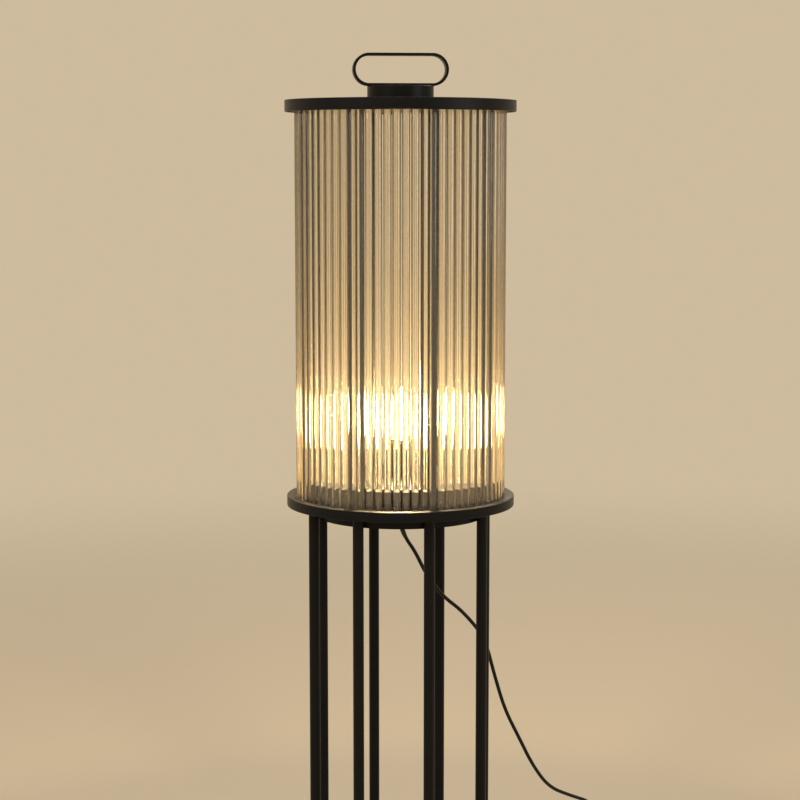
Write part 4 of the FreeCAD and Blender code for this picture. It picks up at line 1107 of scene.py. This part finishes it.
class LANTERN_OT_frame(bpy.types.Operator):
    """Gives every packed node that stays the finish of its slot"""

    bl_idname = "lantern.frame"
    bl_label = "Frame finishes"

    def execute(self, context):
        for part in frame["record"]["subparts"]:
            node = frame["nodes"][part["node"]]
            for slot in node.material_slots:
                slot.material = finish_of(part["material_slot"])
        for name in ("bulb_glass", "bulb_stem"):
            frame["nodes"][name].visible_shadow = False
        return {"FINISHED"}


# name, place, size, power in watts and colour
LIGHTS = (
    ("key_light", (-1.9, -1.7, 2.6), 1.8, 34.0, (1.0, 0.97, 0.92)),
    ("fill_light", (2.3, -1.2, 1.7), 1.6, 16.0, (1.0, 0.97, 0.93)),
    ("back_light", (0.6, 2.4, 2.4), 1.6, 18.0, (1.0, 0.95, 0.88)),
)
LIT_SPOT = Vector((0, 0, 0.8))
BULB_LIGHT_RADIUS = 12 * MM
FLOOR_RADIUS = 6.0
# distances from the lamp where the floor begins to fade and where it is gone
FLOOR_FADE = (1.2, 4.5)
FLOOR_TONE = 1.14
FLOOR_SPECKLE = 1.04


class LANTERN_OT_stage(bpy.types.Operator):
    """Lays a pale floor and hangs soft studio light and the bulb's own light"""

    bl_idname = "lantern.stage"
    bl_label = "Stage"

    def execute(self, context):
        stage = context.scene.lantern_stage
        self.lay_floor(stage)
        self.paint_world(context.scene, stage)
        for name, spot, size, power, colour in LIGHTS:
            clear_hands()
            turn = (LIT_SPOT - Vector(spot)).to_track_quat("-Z", "Y").to_euler()
            bpy.ops.object.light_add(type="AREA", location=spot, rotation=turn)
            light = context.object
            light.name = light.data.name = name
            light.data.shape = "DISK"
            light.data.size = size
            light.data.energy = power
            light.data.color = colour
            light.visible_camera = False
            light.visible_transmission = False
        clear_hands()
        low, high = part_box("bulb_filaments")
        bpy.ops.object.light_add(type="POINT", location=(low + high) / 2)
        bulb = context.object
        bulb.name = bulb.data.name = "bulb_light"
        bulb.data.energy = stage.bulb_power
        bulb.data.color = context.scene.lantern_colours.glow
        bulb.data.shadow_soft_size = BULB_LIGHT_RADIUS
        bulb.visible_camera = False
        bulb.visible_transmission = False
        context.scene.cycles.caustics_refractive = False
        context.scene.cycles.caustics_reflective = False
        context.scene.view_settings.view_transform = "Standard"
        return {"FINISHED"}

    def lay_floor(self, stage):
        """A wide pale floor that fades into the backdrop's tone."""
        clear_hands()
        bpy.ops.mesh.primitive_circle_add(vertices=96, radius=FLOOR_RADIUS, fill_type="NGON")
        floor = take_primitive("floor")
        tone = tuple(min(1.0, part * FLOOR_TONE) for part in stage.backdrop)
        finish = Finish("pale_floor", Roughness=0.85, Specular_IOR_Level=0.2)
        speckle = finish.noise(260.0, 3.0)
        paler = tuple(min(1.0, part * FLOOR_SPECKLE) for part in tone)
        finish.feed("Base Color", finish.blend(speckle, tone, paler))
        finish.feed("Alpha", 1 - finish.between(finish.radius(), *FLOOR_FADE))
        floor.data.materials.append(finish.material)

    def paint_world(self, scene, stage):
        """Pale to the eye and in glass and metal, and an even light on the lamp."""
        scene.world = bpy.data.worlds.new("studio")
        scene.world.use_nodes = True
        tree = scene.world.node_tree
        seen = tree.nodes["Background"]
        seen.inputs["Color"].default_value = (*stage.backdrop, 1.0)
        seen.inputs["Strength"].default_value = 1.0
        lit = tree.nodes.new("ShaderNodeBackground")
        lit.inputs["Color"].default_value = (1.0, 0.98, 0.95, 1.0)
        lit.inputs["Strength"].default_value = stage.room_light
        path = tree.nodes.new("ShaderNodeLightPath")
        mix = tree.nodes.new("ShaderNodeMixShader")
        shown = None
        for ray in ("Is Camera Ray", "Is Glossy Ray", "Is Transmission Ray"):
            if shown is None:
                shown = path.outputs[ray]
                continue
            either = tree.nodes.new("ShaderNodeMath")
            either.operation = "MAXIMUM"
            tree.links.new(shown, either.inputs[0])
            tree.links.new(path.outputs[ray], either.inputs[1])
            shown = either.outputs[0]
        tree.links.new(shown, mix.inputs["Fac"])
        tree.links.new(lit.outputs[0], mix.inputs[1])
        tree.links.new(seen.outputs[0], mix.inputs[2])
        tree.links.new(mix.outputs[0], tree.nodes["World Output"].inputs["Surface"])


STEPS = (
    LANTERN_OT_camera,
    LANTERN_OT_coil_strap,
    LANTERN_OT_plug,
    LANTERN_OT_cords,
    LANTERN_OT_glass_rods,
    LANTERN_OT_felt_rings,
    LANTERN_OT_drum_leads,
    LANTERN_OT_screws,
    LANTERN_OT_frame,
    LANTERN_OT_stage,
)


class LANTERN_PT_sidebar(bpy.types.Panel):
    """Lists the lamp's settings and the buttons of its steps in the sidebar"""

    bl_label = "Lantern Floor Lamp"
    bl_idname = "LANTERN_PT_sidebar"
    bl_space_type = "VIEW_3D"
    bl_region_type = "UI"
    bl_category = "Lantern"

    def draw(self, context):
        layout = self.layout
        for holder, group in SETTINGS:
            box = layout.box()
            box.label(text=group.__doc__)
            settings = getattr(context.scene, holder)
            for name in group.__annotations__:
                box.prop(settings, name)
        for step in STEPS:
            layout.operator(step.bl_idname)


def register():
    """Registers the settings, the operators and the sidebar."""
    for holder, group in SETTINGS:
        bpy.utils.register_class(group)
        setattr(bpy.types.Scene, holder, PointerProperty(type=group))
    for step in STEPS:
        bpy.utils.register_class(step)
    bpy.utils.register_class(LANTERN_PT_sidebar)


def unregister():
    """Takes them away again, in reverse order."""
    bpy.utils.unregister_class(LANTERN_PT_sidebar)
    for step in reversed(STEPS):
        bpy.utils.unregister_class(step)
    for holder, group in reversed(SETTINGS):
        delattr(bpy.types.Scene, holder)
        bpy.utils.unregister_class(group)


def main():
    """Makes the lamp's looks step by step."""
    register()
    bpy.ops.lantern.camera()
    bpy.ops.lantern.coil_strap()
    bpy.ops.lantern.plug()
    bpy.ops.lantern.cords()
    bpy.ops.lantern.glass_rods()
    bpy.ops.lantern.felt_rings()
    bpy.ops.lantern.drum_leads()
    bpy.ops.lantern.screws()
    bpy.ops.lantern.frame()
    bpy.ops.lantern.stage()
    clear_hands()


if __name__ == "__main__":
    main()
